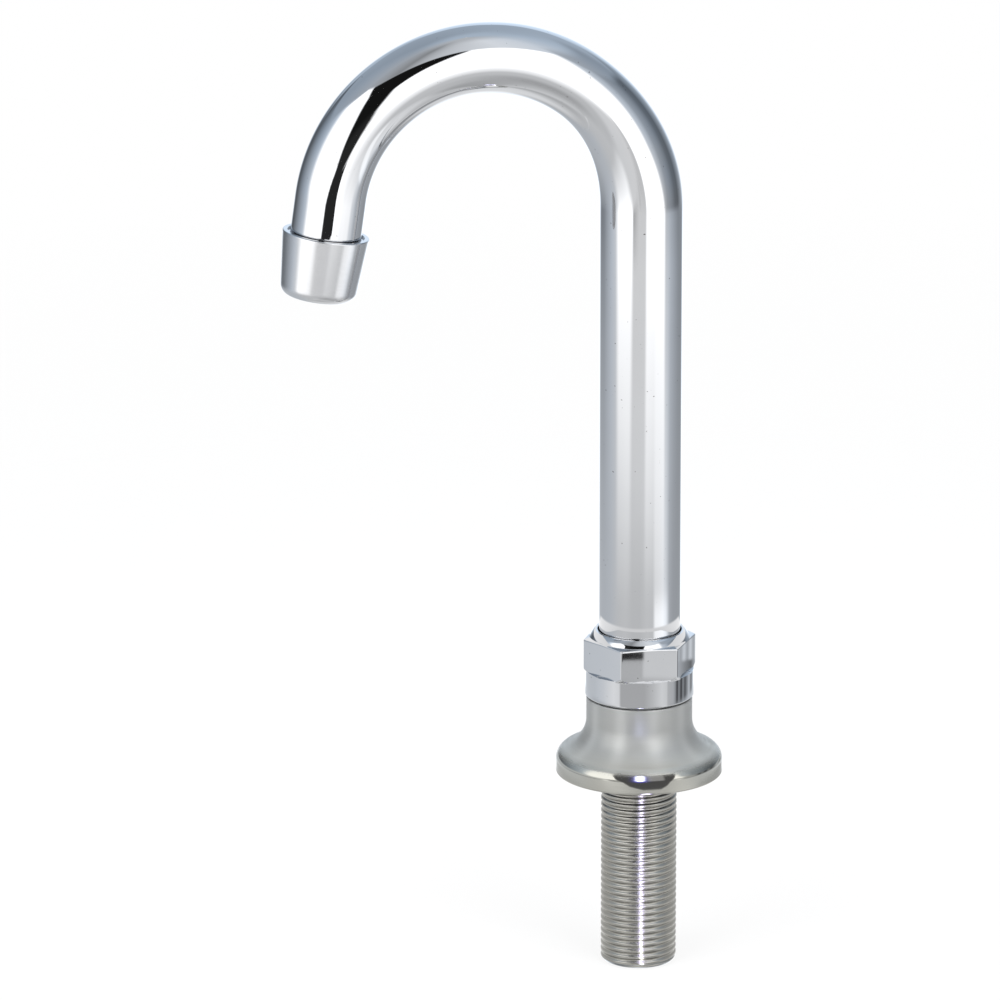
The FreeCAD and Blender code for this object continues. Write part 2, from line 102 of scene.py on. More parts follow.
class NodeBench:
    """Lays out the nodes of one material or world."""

    def __init__(self, owner: bpy.types.Material | bpy.types.World) -> None:
        """Starts with an empty node tree.

        Args:
            owner: New material or world.
        """
        self.owner = owner
        owner.use_nodes = True
        self.tree = owner.node_tree
        self.tree.nodes.clear()

    def add(self, kind: str, inputs: dict[str, object] | None = None, **settings: object) -> bpy.types.Node:
        """Adds a node.

        Args:
            kind: Blender's name of the node type.
            inputs: Values or sockets for its inputs, by input name.
            settings: Values of its own properties.

        Returns:
            The new node.
        """
        node = self.tree.nodes.new(kind)
        for key, value in settings.items():
            setattr(node, key, value)
        for key, value in (inputs or {}).items():
            self.feed(node.inputs[key], value)
        return node

    def feed(self, socket: Socket, value: object) -> None:
        """Links a socket to an input, or sets the input's value.

        Args:
            socket: The input.
            value: Socket to link, or plain value.
        """
        if isinstance(value, Socket):
            self.tree.links.new(value, socket)
        else:
            socket.default_value = value

    def place(self, stretch: Triple = (1.0, 1.0, 1.0)) -> Socket:
        """Gives the piece's own coordinates, stretched along each axis.

        Args:
            stretch: Factor along X, Y and Z.

        Returns:
            Socket with the coordinates.
        """
        coordinates = self.add("ShaderNodeTexCoord")
        mapping = self.add("ShaderNodeMapping", {"Vector": coordinates.outputs["Object"], "Scale": stretch})
        return mapping.outputs["Vector"]

    def noise(self, where: Socket, size_mm: float, detail: float) -> Socket:
        """Gives cloudy noise with clouds of one size and a number of finer layers."""
        inputs = {"Vector": where, "Scale": 1.0 / (size_mm * MM), "Detail": detail}
        return self.add("ShaderNodeTexNoise", inputs).outputs["Fac"]

    def spread(self, value: Socket, source: Span, target: Span) -> Socket:
        """Maps one range of values to another, clamped."""
        ends = {"From Min": source[0], "From Max": source[1], "To Min": target[0], "To Max": target[1]}
        return self.add("ShaderNodeMapRange", {"Value": value, **ends}).outputs["Result"]

    def blend(self, share: Socket, first: Colour | Socket, second: Colour | Socket,
              way: str = "MIX") -> Socket:
        """Gives a colour between two by a share.

        Args:
            share: Socket from 0, the first colour, to 1, the second laid over it.
            first: Linear colour or socket.
            second: Linear colour or socket.
            way: Blender's name for how the second is laid over the first.

        Returns:
            Socket with the colour.
        """
        node = self.add("ShaderNodeMix", data_type="RGBA", blend_type=way)
        self.feed(node.inputs[0], share)
        # The colour inputs of this node come after those for numbers and vectors.
        for index, colour in ((6, first), (7, second)):
            self.feed(node.inputs[index], colour if isinstance(colour, Socket) else (*colour, 1.0))
        return node.outputs[2]

    def scaled(self, colour: Socket, factor: Socket) -> Socket:
        """Gives a colour made lighter or darker.

        Args:
            colour: Socket with the colour.
            factor: Socket with the factor.

        Returns:
            Socket with the new colour.
        """
        node = self.add("ShaderNodeVectorMath", {"Scale": factor}, operation="SCALE")
        self.feed(node.inputs[0], colour)
        return node.outputs["Vector"]

    def maths(self, operation: str, *values: float | Socket) -> Socket:
        """Combines values.

        Args:
            operation: Blender's name of the operation.
            values: Numbers or sockets, in order.

        Returns:
            Socket with the result.
        """
        node = self.add("ShaderNodeMath", operation=operation)
        for socket, value in zip(node.inputs, values):
            self.feed(socket, value)
        return node.outputs[0]

    def bump(self, height: Socket, depth_mm: float, normal: Socket | None = None) -> Socket:
        """Gives a normal that is roughened by a height.

        Args:
            height: Socket with the height.
            depth_mm: Depth of one unit of height.
            normal: Normal to start from, if not the mesh's own.

        Returns:
            Socket with the normal.
        """
        inputs: dict[str, object] = {"Height": height, "Distance": depth_mm * MM, "Strength": 1.0}
        if normal is not None:
            inputs["Normal"] = normal
        return self.add("ShaderNodeBump", inputs).outputs["Normal"]

    def mix(self, share: Socket, first: bpy.types.Node, second: bpy.types.Node) -> bpy.types.Node:
        """Mixes two shaders.

        Args:
            share: Socket from 0, the first shader, to 1, the second.
            first: One shader.
            second: The other.

        Returns:
            The mixed shader.
        """
        node = self.add("ShaderNodeMixShader", {"Fac": share})
        self.feed(node.inputs[1], first.outputs[0])
        self.feed(node.inputs[2], second.outputs[0])
        return node

    def close(self, shader: bpy.types.Node) -> bpy.types.Material | bpy.types.World:
        """Wires a shader to a new output.

        Args:
            shader: The finished shader.

        Returns:
            The material or world.
        """
        kind = "World" if isinstance(self.owner, bpy.types.World) else "Material"
        output = self.add("ShaderNodeOutput" + kind)
        self.feed(output.inputs["Surface"], shader.outputs[0])
        return self.owner


@dataclass(frozen=True)
class MetalFinish:
    """Bare or plated metal with its polish, haze, worked lines and specks, and, where set, painted
    reflection bands and a painted warm reflection low down.
    """

    name: str
    colour: Colour
    shade: Colour
    roughness: Span
    grain: Grain
    grain_depth_mm: float = 0.0
    wave_depth_mm: float = 0.0
    speck_share: float = 0.0
    metallic: float = 1.0
    buffed_mm: float = 0.0
    # Warm tint of the buffed zone: a painted warm reflection.
    buffed_warm_reflection_colour: Colour = (0.5, 0.5, 0.5)
    # Depth of the painted reflection bands: lighter upright stripes that stand in for reflected light.
    bands: float = 0.0
    haze_mm: float = 14.0
    haze_span: Span = (0.32, 0.68)
    wave_mm: float = 9.0
    grain_mm: float = 0.22
    grain_dulling: Span = (0.85, 1.2)
    speck_mm: float = 0.9
    speck_span: Span = (0.76, 0.80)
    speck_colour: Colour = (0.35, 0.34, 0.33)
    band_count: float = 10.0
    band_phase: float = -0.77
    band_power: float = 2.5
    band_wear: Span = (0.6, 1.2)
    buffed_fade: float = 0.6
    dull_rise: float = 1.6
    warm_rise: float = 4.5
    buffed_share: float = 0.2

    def add_grain(self, bench: NodeBench, inputs: dict[str, object]) -> None:
        """Adds the lines of turning or brushing.

        Args:
            bench: Node tree to add to.
            inputs: Shader inputs so far, whose normal and roughness take up the lines.
        """
        lines = bench.noise(bench.place(self.grain.value), self.grain_mm, detail=2.0)
        inputs["Normal"] = bench.bump(lines, self.grain_depth_mm, inputs.get("Normal"))
        dulling = bench.spread(lines, NOISE_SPAN, self.grain_dulling)
        inputs["Roughness"] = bench.maths("MULTIPLY", inputs["Roughness"], dulling)

    def specked(self, bench: NodeBench, place: Socket, colour: Socket) -> Socket:
        """Puts small dark specks on a colour.

        Args:
            bench: Node tree to add to.
            place: Coordinates in metres.
            colour: Colour so far.

        Returns:
            Socket with the new colour.
        """
        span = (self.speck_span[0] - self.speck_share, self.speck_span[1] - self.speck_share)
        specks = bench.spread(bench.noise(place, self.speck_mm, detail=2.0), span, UNIT)
        return bench.blend(specks, colour, self.speck_colour, "MULTIPLY")

    def paint_reflection_bands(self, bench: NodeBench, place: Socket, haze: Socket, colour: Socket) -> Socket:
        """Puts soft upright painted reflection bands on a colour: lighter stripes round the piece that
        stand in for reflected light.

        Args:
            bench: Node tree to add to.
            place: Coordinates in metres.
            haze: Noise that wears the painted reflection bands.
            colour: Colour so far.

        Returns:
            Socket with the new colour.
        """
        parts = bench.add("ShaderNodeSeparateXYZ", {"Vector": place})
        bearing = bench.maths("ARCTAN2", parts.outputs["Y"], parts.outputs["X"])
        wave = bench.maths("COSINE", bench.maths("MULTIPLY_ADD", bearing, self.band_count, self.band_phase))
        wave = bench.maths("POWER", bench.spread(wave, (-1.0, 1.0), UNIT), self.band_power)
        wave = bench.maths("MULTIPLY", wave, bench.spread(haze, NOISE_SPAN, self.band_wear))
        return bench.scaled(colour, bench.spread(wave, UNIT, (1.0 - self.bands, 1.0 + self.bands)))

    def add_buffing(self, bench: NodeBench, place: Socket, inputs: dict[str, object]) -> None:
        """Makes the piece bright below its buffed height, and warm there with a painted warm reflection.

        Args:
            bench: Node tree to add to.
            place: Coordinates in metres.
            inputs: Shader inputs so far, whose colour, metal share and roughness change.
        """
        height = bench.add("ShaderNodeSeparateXYZ", {"Vector": place}).outputs["Z"]
        start = (self.buffed_mm - self.buffed_fade) * MM
        dull = bench.spread(height, (start, (self.buffed_mm + self.dull_rise) * MM), UNIT)
        warm = bench.spread(height, (start, (self.buffed_mm + self.warm_rise) * MM), UNIT)
        polish = bench.spread(dull, UNIT, (self.buffed_share, 1.0))
        inputs["Roughness"] = bench.maths("MULTIPLY", inputs["Roughness"], polish)
        inputs["Metallic"] = bench.spread(dull, UNIT, (1.0, self.metallic))
        # Painted warm reflection: the colour turns warmer low on the piece.
        inputs["Base Color"] = bench.blend(warm, self.buffed_warm_reflection_colour, inputs["Base Color"])

    def material(self) -> bpy.types.Material:
        """Builds the material.

        Returns:
            Material with the finish's nodes.
        """
        bench = NodeBench(bpy.data.materials.new(self.name))
        place = bench.place()
        haze = bench.noise(place, self.haze_mm, detail=4.0)
        colour = bench.blend(bench.spread(haze, self.haze_span, UNIT), self.colour, self.shade)
        if self.speck_share > 0:
            colour = self.specked(bench, place, colour)
        # Painted reflection bands: lighter upright stripes standing in for reflected light.
        if self.bands > 0:
            colour = self.paint_reflection_bands(bench, place, haze, colour)
        inputs: dict[str, object] = {"Base Color": colour, "Metallic": self.metallic}
        inputs["Roughness"] = bench.spread(haze, NOISE_SPAN, self.roughness)
        if self.wave_depth_mm > 0:
            inputs["Normal"] = bench.bump(bench.noise(place, self.wave_mm, detail=1.0), self.wave_depth_mm)
        if self.grain is not Grain.POLISHED:
            self.add_grain(bench, inputs)
        if self.buffed_mm > 0:
            self.add_buffing(bench, place, inputs)
        return bench.close(bench.add("ShaderNodeBsdfPrincipled", inputs))


@dataclass(frozen=True)
class ThreadFinish:
    """Dull nickel plate on a thread, with painted shade darkening it down in the grooves."""

    name: str
    crest: Colour
    root: Colour
    roughness: Span
    crest_r_mm: float
    root_r_mm: float
    cloud_mm: float = 5.0
    cloud_span: Span = (0.35, 0.7)
    cloud_share: float = 0.3
    # Share of painted shade at the thread's roots.
    groove_shade_share: float = 0.8
    line_mm: float = 0.12
    line_depth_mm: float = 0.0018
    line_stretch: Triple = (0.05, 0.05, 1.0)

    def material(self) -> bpy.types.Material:
        """Builds the material.

        Returns:
            Material that darkens from the crest's radius to the root's, as painted shade in the grooves.
        """
        bench = NodeBench(bpy.data.materials.new(self.name))
        place = bench.place()
        level = bench.place((1.0, 1.0, 0.0))
        reach = bench.add("ShaderNodeVectorMath", {"Vector": level}, operation="LENGTH")
        groove = (self.root_r_mm * MM, self.crest_r_mm * MM)
        # Painted shade: the colour darkens towards the thread's roots, where shade falls.
        depth = bench.spread(reach.outputs["Value"], groove, (self.groove_shade_share, 0.0))
        cloud = bench.noise(place, self.cloud_mm, detail=4.0)
        share = bench.maths("ADD", depth, bench.spread(cloud, self.cloud_span, (0.0, self.cloud_share)))
        lines = bench.noise(bench.place(self.line_stretch), self.line_mm, detail=2.0)
        return bench.close(bench.add("ShaderNodeBsdfPrincipled", {
            "Base Color": bench.blend(share, self.crest, self.root),
            "Metallic": 1.0,
            "Roughness": bench.spread(cloud, NOISE_SPAN, self.roughness),
            "Normal": bench.bump(lines, self.line_depth_mm)}))


@dataclass(frozen=True)
class MouldedFinish:
    """Rubber, fibre or plastic with a fine moulded skin."""

    name: str
    colour: Colour
    shade: Colour
    roughness: Span
    skin_mm: float
    skin_depth_mm: float
    cloud_mm: float = 4.0

    def material(self) -> bpy.types.Material:
        """Builds the material.

        Returns:
            Material with a mottled colour and a fine skin.
        """
        bench = NodeBench(bpy.data.materials.new(self.name))
        place = bench.place()
        cloud = bench.spread(bench.noise(place, self.cloud_mm, detail=4.0), NOISE_SPAN, UNIT)
        skin = bench.noise(place, self.skin_mm, detail=3.0)
        return bench.close(bench.add("ShaderNodeBsdfPrincipled", {
            "Base Color": bench.blend(cloud, self.colour, self.shade),
            "Roughness": bench.spread(skin, NOISE_SPAN, self.roughness),
            "Normal": bench.bump(skin, self.skin_depth_mm)}))


@dataclass(frozen=True)
class FinishSet:
    """All finishes of the faucet, named by the record's slots."""

    finishes: tuple[MetalFinish | ThreadFinish | MouldedFinish, ...] = (
        MetalFinish(
            "polished_chrome", (0.557, 0.562, 0.574), (0.542, 0.547, 0.560), (0.02, 0.05), Grain.POLISHED,
            wave_depth_mm=0.004, speck_share=0.03),
        MetalFinish(
            "brushed_chrome", (0.560, 0.563, 0.572), (0.535, 0.538, 0.550), (0.13, 0.19), Grain.TURNED,
            grain_depth_mm=0.0012),
        # The satin chrome carries painted reflection bands.
        MetalFinish(
            "satin_chrome", (0.400, 0.404, 0.396), (0.376, 0.380, 0.370), (0.38, 0.46), Grain.TURNED,
            grain_depth_mm=0.0010, metallic=0.4, bands=0.12, buffed_mm=5.35,
            # The buffed rim's warm tint is a painted warm reflection.
            buffed_warm_reflection_colour=(0.430, 0.424, 0.386)),
        # The thread's root colour is painted shade in the grooves.
        ThreadFinish(
            "nickel_thread", (0.385, 0.376, 0.346), (0.340, 0.331, 0.302), (0.20, 0.27),
            crest_r_mm=10.35, root_r_mm=9.95),
        MetalFinish(
            "bare_brass", (0.62, 0.41, 0.14), (0.52, 0.33, 0.11), (0.22, 0.34), Grain.TURNED,
            grain_depth_mm=0.002),
        MouldedFinish(
            "seal_rubber", (0.022, 0.022, 0.023), (0.034, 0.034, 0.034), (0.5, 0.68),
            skin_mm=0.35, skin_depth_mm=0.01),
        MouldedFinish(
            "fibre_seal", (0.16, 0.045, 0.026), (0.11, 0.032, 0.02), (0.65, 0.85),
            skin_mm=0.25, skin_depth_mm=0.03),
        MouldedFinish(
            "slide_plastic", (0.74, 0.72, 0.65), (0.66, 0.64, 0.57), (0.3, 0.42),
            skin_mm=0.6, skin_depth_mm=0.004),
        MouldedFinish(
            "insert_plastic", (0.70, 0.72, 0.74), (0.62, 0.64, 0.66), (0.32, 0.46),
            skin_mm=0.5, skin_depth_mm=0.005),
        MetalFinish(
            "screen_steel", (0.50, 0.505, 0.51), (0.42, 0.425, 0.43), (0.24, 0.36), Grain.BRUSHED,
            grain_depth_mm=0.002),
    )

    def build(self) -> Finishes:
        """Builds one material for each slot."""
        return {finish.name: finish.material() for finish in self.finishes}


# Meshes, in millimetres


def soft_min(first: Array, second: Array, width: float) -> Array:
    """Lower of two heights, with the crossing rounded over a width to each side."""
    share = np.clip(0.5 + 0.5 * (second - first) / width, 0.0, 1.0)
    return second + (first - second) * share - width * share * (1.0 - share)


def soft_max(first: Array, second: Array, width: float) -> Array:
    """Higher of two heights, with the crossing rounded."""
    return -soft_min(-first, -second, width)


def arc(middle: Sequence[float], radius: float, first: float, last: float, steps: int) -> Outline:
    """Points along an arc from one angle to another, in radians, with both its ends."""
    angles = [first + (last - first) * k / steps for k in range(steps + 1)]
    return [(middle[0] + radius * math.cos(a), middle[1] + radius * math.sin(a)) for a in angles]


def rounded(corners: Sequence[Triple], steps: int, guard: float = 0.2) -> Outline:
    """Outline through corners, each rounded by its own radius.

    Args:
        corners: Distance from the axis, height and rounding of each corner, in order round the outline.
        steps: Number of facets in each rounding.
        guard: How far beyond a rounding an extra point keeps the flat side flat, as a share of the radius.

    Returns:
        Points of the closed outline.
    """
    points: Outline = []
    count = len(corners)
    for i, (r, z, size) in enumerate(corners):
        here = Vector((r, z))
        if size <= 0:
            points.append((r, z))
            continue
        back = (Vector(corners[i - 1][:2]) - here).normalized()
        ahead = (Vector(corners[(i + 1) % count][:2]) - here).normalized()
        half = back.angle(ahead) / 2
        run = size / math.tan(half)
        middle = here + (back + ahead).normalized() * (size / math.sin(half))
        start = here + back * run - middle
        end = here + ahead * run - middle
        first = math.atan2(start.y, start.x)
        swing = (math.atan2(end.y, end.x) - first + math.pi) % math.tau - math.pi
        points.append(tuple(middle + start + back * size * guard))
        points += arc(middle, size, first, first + swing, steps)
        points.append(tuple(middle + end + ahead * size * guard))
    return points


def circle(steps: int) -> Array:
    """Angles of equal steps round the axis, in radians."""
    return np.linspace(0.0, math.tau, steps, endpoint=False)


def ring(r: float | Array, z: float | Array, angle: Array) -> Array:
    """Points round the axis at a distance and a height."""
    return np.stack([r * np.cos(angle), r * np.sin(angle), z * np.ones_like(angle)], axis=-1)


def skin_mesh(name: str, rings: Array, closed: bool) -> bpy.types.Mesh:
    """Mesh over rings of points.

    Args:
        name: Name of the mesh.
        rings: Points in millimetres, by ring and then round the ring.
        closed: Whether the last ring joins the first.

    Returns:
        The smooth mesh, in metres.
    """
    count, around = rings.shape[:2]
    index = np.arange(count * around).reshape(count, around)
    low = index if closed else index[:-1]
    high = np.roll(index, -1, axis=0) if closed else index[1:]
    quads = np.stack([low, np.roll(low, -1, axis=1), np.roll(high, -1, axis=1), high], axis=-1)
    mesh = bpy.data.meshes.new(name)
    mesh.from_pydata((rings.reshape(-1, 3) * MM).tolist(), [], quads.reshape(-1, 4).tolist())
    mesh.validate()
    mesh.shade_smooth()
    mesh.set_sharp_from_angle(angle=SHARP_ANGLE)
    return mesh


def turned_mesh(name: str, outline: Outline, around: int) -> bpy.types.Mesh:
    """Closed mesh of an outline turned about Z, with the metal on the outline's left hand."""
    angle = circle(around)
    return skin_mesh(name, np.array([ring(r, z, angle) for r, z in outline]), True)


def piece(mesh: bpy.types.Mesh, finish: Finishes, body: Body, node: str, slot: str,
          place: Matrix | None = None) -> None:
    """Puts a mesh in the scene in place of a node of the frame.

    Args:
        mesh: The piece's mesh.
        finish: Materials by slot.
        body: Body that it rides on.
        node: Node that it stands for.
        slot: Material slot of the record.
        place: Where the mesh's own origin and axes are.
    """
    thing = bpy.data.objects.new(mesh.name, mesh)
    bpy.context.scene.collection.objects.link(thing)
    if place is not None:
        thing.matrix_world = place
    mesh.materials.append(finish[slot])
    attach(thing, body.value)
    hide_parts(node)
    LOG.info("%s stands for %s on %s: %d faces", thing.name, node, body.value, len(mesh.polygons))


def dress(frame: dict, material: bpy.types.Material, *nodes: str) -> None:
    """Gives nodes of the frame their finish.

    Args:
        frame: The loaded frame.
        material: The finish.
        nodes: Names of the nodes.
    """
    for node in nodes:
        mesh = frame["nodes"][node].data
        mesh.materials.clear()
        mesh.materials.append(material)
        LOG.info("%s keeps its frame shape in %s", node, material.name)


# Sub-assemblies, with sizes in millimetres


@dataclass
class Spout:
    """Gooseneck tube with its swivel stem and the threaded ring on its end."""

    riser_r: float = 11.1
    outlet_r: float = 9.525
    wall: float = 1.1
    foot_z: float = 36.35
    bend_start: float = 158.45
    bend_r: float = 42.3
    bend_angle: float = 172.0
    taper_angle: float = 53.0
    end_length: float = 15.5
    around: int = 144
    riser_rows: int = 62
    bend_rows: int = 173
    end_rows: int = 10

    def line(self) -> list[tuple[float, float, float, float]]:
        """Samples of the tube's middle line.

        Returns:
            Y, Z, turn in degrees and radius at each sample.
        """
        samples = []
        for z in np.linspace(self.foot_z, self.bend_start, self.riser_rows)[:-1]:
            samples.append((0.0, float(z), 0.0, self.riser_r))
        for turn in np.linspace(0.0, self.bend_angle, self.bend_rows):
            a = math.radians(turn)
            share = min(turn / self.taper_angle, 1.0)
            radius = self.riser_r + (self.outlet_r - self.riser_r) * share * share * (3 - 2 * share)
            y = -self.bend_r * (1 - math.cos(a))
            z = self.bend_start + self.bend_r * math.sin(a)
            samples.append((y, z, turn, radius))
        y, z, turn, radius = samples[-1]
        a = math.radians(turn)
        for run in np.linspace(0.0, self.end_length, self.end_rows)[1:]:
            samples.append((y - math.sin(a) * run, z + math.cos(a) * run, turn, radius))
        return samples

    def mesh(self) -> bpy.types.Mesh:
        """Hollow tube, outside and inside.

        Returns:
            The mesh.
        """
        angle = circle(self.around)
        line = self.line()
        rings = []
        for samples, inset in ((line, 0.0), (line[::-1], self.wall)):
            for y, z, turn, radius in samples:
                a = math.radians(turn)
                side = (radius - inset) * np.cos(angle)
                out = (radius - inset) * np.sin(angle)
                rings.append(np.stack([side, y + out * math.cos(a), z + out * math.sin(a)], axis=-1))
        return skin_mesh("gooseneck_tube", np.array(rings), True)

    def build(self, frame: dict, finish: Finishes) -> None:
        """Builds the tube and dresses the pieces inside it.

        Args:
            frame: The loaded frame.
            finish: Materials by slot.
        """
        piece(self.mesh(), finish, Body.SPOUT, "spout_tube", "polished_chrome")
        dress(frame, finish["bare_brass"], "swivel_stem")
        dress(frame, finish["polished_chrome"], "outlet_adapter")
        dress(frame, finish["seal_rubber"], "upper_o_ring", "lower_o_ring")


@dataclass
class SpoutNut:
    """Hexagon nut with a conical crown and a round skirt, and the slide rings under it."""

    hole_r: float = 11.4
    bore_r: float = 12.3
    skirt_r: float = 14.75
    flat_r: float = 13.6
    foot_z: float = 21.65
    skirt_top_z: float = 29.25
    roof_z: float = 37.45
    top_z: float = 40.45
    crown_land: float = 0.8
    hex_drop: float = 2.1
    corner_drop: float = 0.3
    corner_share: float = 0.25
    foot_edge: float = 0.5
    corner_round: float = 0.3
    edge_round: float = 0.35
    crown_round: float = 0.2
    top_round: float = 0.15
    skirt_round: float = 0.05
    foot_round: float = 0.06
    waist_round: float = 0.12
    bulge: float = 0.25
    crown_bulge: float = 0.1
    hole_land: float = 0.25
    hole_edge: Span = (0.08, 0.06)
    bore_land: float = 0.3
    middle_z: float = 32.0
    search: Span = (8.0, 24.0)
    halvings: int = 26
    around: int = 540
    rows: int = 60
    edge_rows: tuple[int, int, int] = (40, 160, 40)
    edge_reach: float = 0.1
    hex_edge_out: float = 1.0

    def depth(self, angle: Array, r: Array, z: Array) -> Array:
        """Distance past the nut's outside, with its edges rounded.

        Args:
            angle: Angles round the axis, in radians.
            r: Distances from the axis.
            z: Heights.

        Returns:
            Distance, below zero inside the nut.
        """
        corner_r = self.flat_r / math.cos(math.pi / 6)
        crown_r = self.hole_r + self.crown_land
        hex_top = self.top_z - self.hex_drop
        lower_r = self.skirt_r + (corner_r - self.skirt_r) * self.corner_share
        block = (r - lower_r - z + self.skirt_top_z) / math.sqrt(2.0)
        for i in range(6):
            turn = angle - math.radians(60 * i)
            across = r * np.sin(turn) / (corner_r / 2)
            flat = r * np.cos(turn) - self.flat_r + self.bulge * (across * across - 0.5)
            block = soft_max(block, flat, self.corner_round)
        cones = []
        slopes = ((corner_r - self.flat_r, self.corner_drop), (self.flat_r - crown_r, self.hex_drop))
        for wide, drop in slopes:
            cones.append(((r - self.flat_r) * drop + (z - hex_top) * wide) / math.hypot(wide, drop))
        along = (2 * r - self.flat_r - crown_r) / (self.flat_r - crown_r)
        crown = cones[1] + self.crown_bulge * (along * along - 1.0)
        block = soft_max(block, soft_min(cones[0], crown, self.crown_round), self.edge_round)
        block = soft_max(block, z - self.top_z, self.top_round)
        skirt = soft_max(r - self.skirt_r, z - self.skirt_top_z, self.skirt_round)
        foot = (r - self.skirt_r + self.foot_edge - z + self.foot_z) / math.sqrt(2.0)
        skirt = soft_max(skirt, foot, self.foot_round)
        return np.maximum(soft_min(block, skirt, self.waist_round), self.foot_z - z)

    def outside(self, angle: Array, lean: float) -> tuple[Array, Array]:
        """Outside along rays from the nut's middle that lean from the axis by one angle.

        Args:
            angle: Angles round the axis, in radians.
            lean: Angle of the rays from straight up, in radians.

        Returns:
            Distances from the axis and heights where the rays leave the nut.
        """
        low, high = (np.full(angle.shape, end) for end in self.search)
        for _ in range(self.halvings):
            half = (low + high) / 2
            out = self.depth(angle, half * math.sin(lean), self.middle_z + half * math.cos(lean)) > 0
            low = np.where(out, low, half)
            high = np.where(out, half, high)
        return low * math.sin(lean), self.middle_z + low * math.cos(lean)

    def leans(self) -> Array:
        """Leans of the rays, closer together near the edges.

        Returns:
            Angles from straight up, in radians, from the crown to the foot.
        """
        first = math.atan2(self.hole_r + self.hole_land, self.top_z - self.middle_z)
        last = math.atan2(self.bore_r + self.bore_land, self.foot_z - self.middle_z)
        edges = ((self.flat_r + self.hex_edge_out, self.top_z - self.hex_drop),
                 (self.skirt_r, self.skirt_top_z), (self.skirt_r, self.foot_z))
        rays = [np.linspace(first, last, self.rows)]
        for (r, z), rows in zip(edges, self.edge_rows):
            near = np.linspace(-self.edge_reach, self.edge_reach, rows)
            rays.append(math.atan2(r, z - self.middle_z) + near)
        leans = np.unique(np.concatenate(rays))
        return leans[(leans >= first) & (leans <= last)]

    def mesh(self) -> bpy.types.Mesh:
        """Closed mesh of the nut.

        Returns:
            The mesh.
        """
        angle = circle(self.around)
        rows = [self.outside(angle, float(lean)) for lean in self.leans()[::-1]]
        rows += [(self.hole_r + self.hole_edge[0], self.top_z - self.hole_edge[1]),
                 (self.hole_r, self.top_z - self.bore_land), (self.hole_r, self.roof_z),
                 (self.bore_r, self.roof_z), (self.bore_r, self.foot_z + self.bore_land)]
        rings = np.array([ring(r, z, angle) for r, z in rows])
        return skin_mesh("hexagon_spout_nut", rings, True)

    def build(self, frame: dict, finish: Finishes) -> None:
        """Builds the nut and dresses the slide rings."""
        piece(self.mesh(), finish, Body.BASE, "spout_nut", "polished_chrome")
        dress(frame, finish["slide_plastic"], "upper_thrust_washer", "lower_thrust_washer")


@dataclass
class DeckBase:
    """Bell-shaped base with its gasket and seal."""

    flange_r: float = 22.7
    rim_height: float = 7.15
    rim_round: float = 3.6
    rim_edge: float = 0.4
    rim_land: Span = (0.12, 0.15)
    shoulder_slope: float = 20.0
    flare_rise: float = 6.2
    flare_pull: float = 0.6
    neck_r: float = 14.45
    neck_edge: float = 0.25
    neck_land: float = 0.6
    height: float = 21.35
    spigot_r: float = 12.25
    spigot_top_z: float = 33.05
    bore_r: float = 8.65
    bore_floor_z: float = 10.2
    waterway_r: float = 5.0
    socket_r: float = 10.05
    socket_top_z: float = 8.2
    gasket_hole_r: float = 13.0
    gasket_seat_r: float = 20.3
    gasket_thickness: float = 1.5
    rim_steps: int = 24
    flare_steps: int = 48
    foot_steps: int = 6
    neck_steps: int = 5
    around: int = 192

    def flare(self, start: Vector) -> Outline:
        """Curve of the bell from the rim's rounding up to the neck.

        Args:
            start: Where the rounding ends.

        Returns:
            Points after the start.
        """
        rise = (start.x - self.neck_r) * math.tan(math.radians(self.shoulder_slope))
        crossing = Vector((self.neck_r, start.y + rise))
        top = crossing + Vector((0.0, self.flare_rise))
        poles = [start, start.lerp(crossing, self.flare_pull), top.lerp(crossing, self.flare_pull), top]
        points: Outline = []
        for k in range(1, self.flare_steps + 1):
            t = k / self.flare_steps
            weights = ((1 - t) ** 3, 3 * t * (1 - t) ** 2, 3 * t * t * (1 - t), t ** 3)
            spot = sum((pole * w for pole, w in zip(poles, weights)), Vector((0.0, 0.0)))
            points.append((spot.x, spot.y))
        return points

    def outside(self) -> Outline:
        """Outer outline from the foot of the rim to the neck's top edge.

        Returns:
            Points of the outline.
        """
        quarter = math.pi / 2
        swing = quarter - math.radians(self.shoulder_slope)
        middle = (self.flange_r - self.rim_round, self.rim_height - self.rim_round)
        foot = (self.flange_r - self.rim_edge, self.rim_edge)
        edge = (self.neck_r - self.neck_edge, self.height - self.neck_edge)
        points = arc(foot, self.rim_edge, -quarter, 0.0, self.foot_steps)
        points.append((self.flange_r, self.rim_edge + self.rim_land[0]))
        points.append((self.flange_r, middle[1] - self.rim_land[1]))
        points += arc(middle, self.rim_round, 0.0, swing, self.rim_steps)
        points += self.flare(Vector(points[-1]))
        points.append((self.neck_r, self.height - self.neck_land))
        return points + arc(edge, self.neck_edge, 0.0, quarter, self.neck_steps)

    def mesh(self) -> bpy.types.Mesh:
        """Closed mesh of the base.

        Returns:
            The mesh.
        """
        inside = [
            (self.spigot_r, self.height), (self.spigot_r, self.spigot_top_z),
            (self.bore_r, self.spigot_top_z), (self.bore_r, self.bore_floor_z),
            (self.waterway_r, self.bore_floor_z), (self.waterway_r, self.socket_top_z),
            (self.socket_r, self.socket_top_z), (self.socket_r, 0.0),
            (self.gasket_hole_r, 0.0), (self.gasket_hole_r, self.gasket_thickness),
            (self.gasket_seat_r, self.gasket_thickness), (self.gasket_seat_r, 0.0),
        ]
        return turned_mesh("bell_base", self.outside() + inside, self.around)

    def build(self, frame: dict, finish: Finishes) -> None:
        """Builds the base and dresses its gasket and seal.

        Args:
            frame: The loaded frame.
            finish: Materials by slot.
        """
        piece(self.mesh(), finish, Body.BASE, "base_body", "satin_chrome")
        dress(frame, finish["seal_rubber"], "deck_gasket")
        dress(frame, finish["fibre_seal"], "shank_seal")


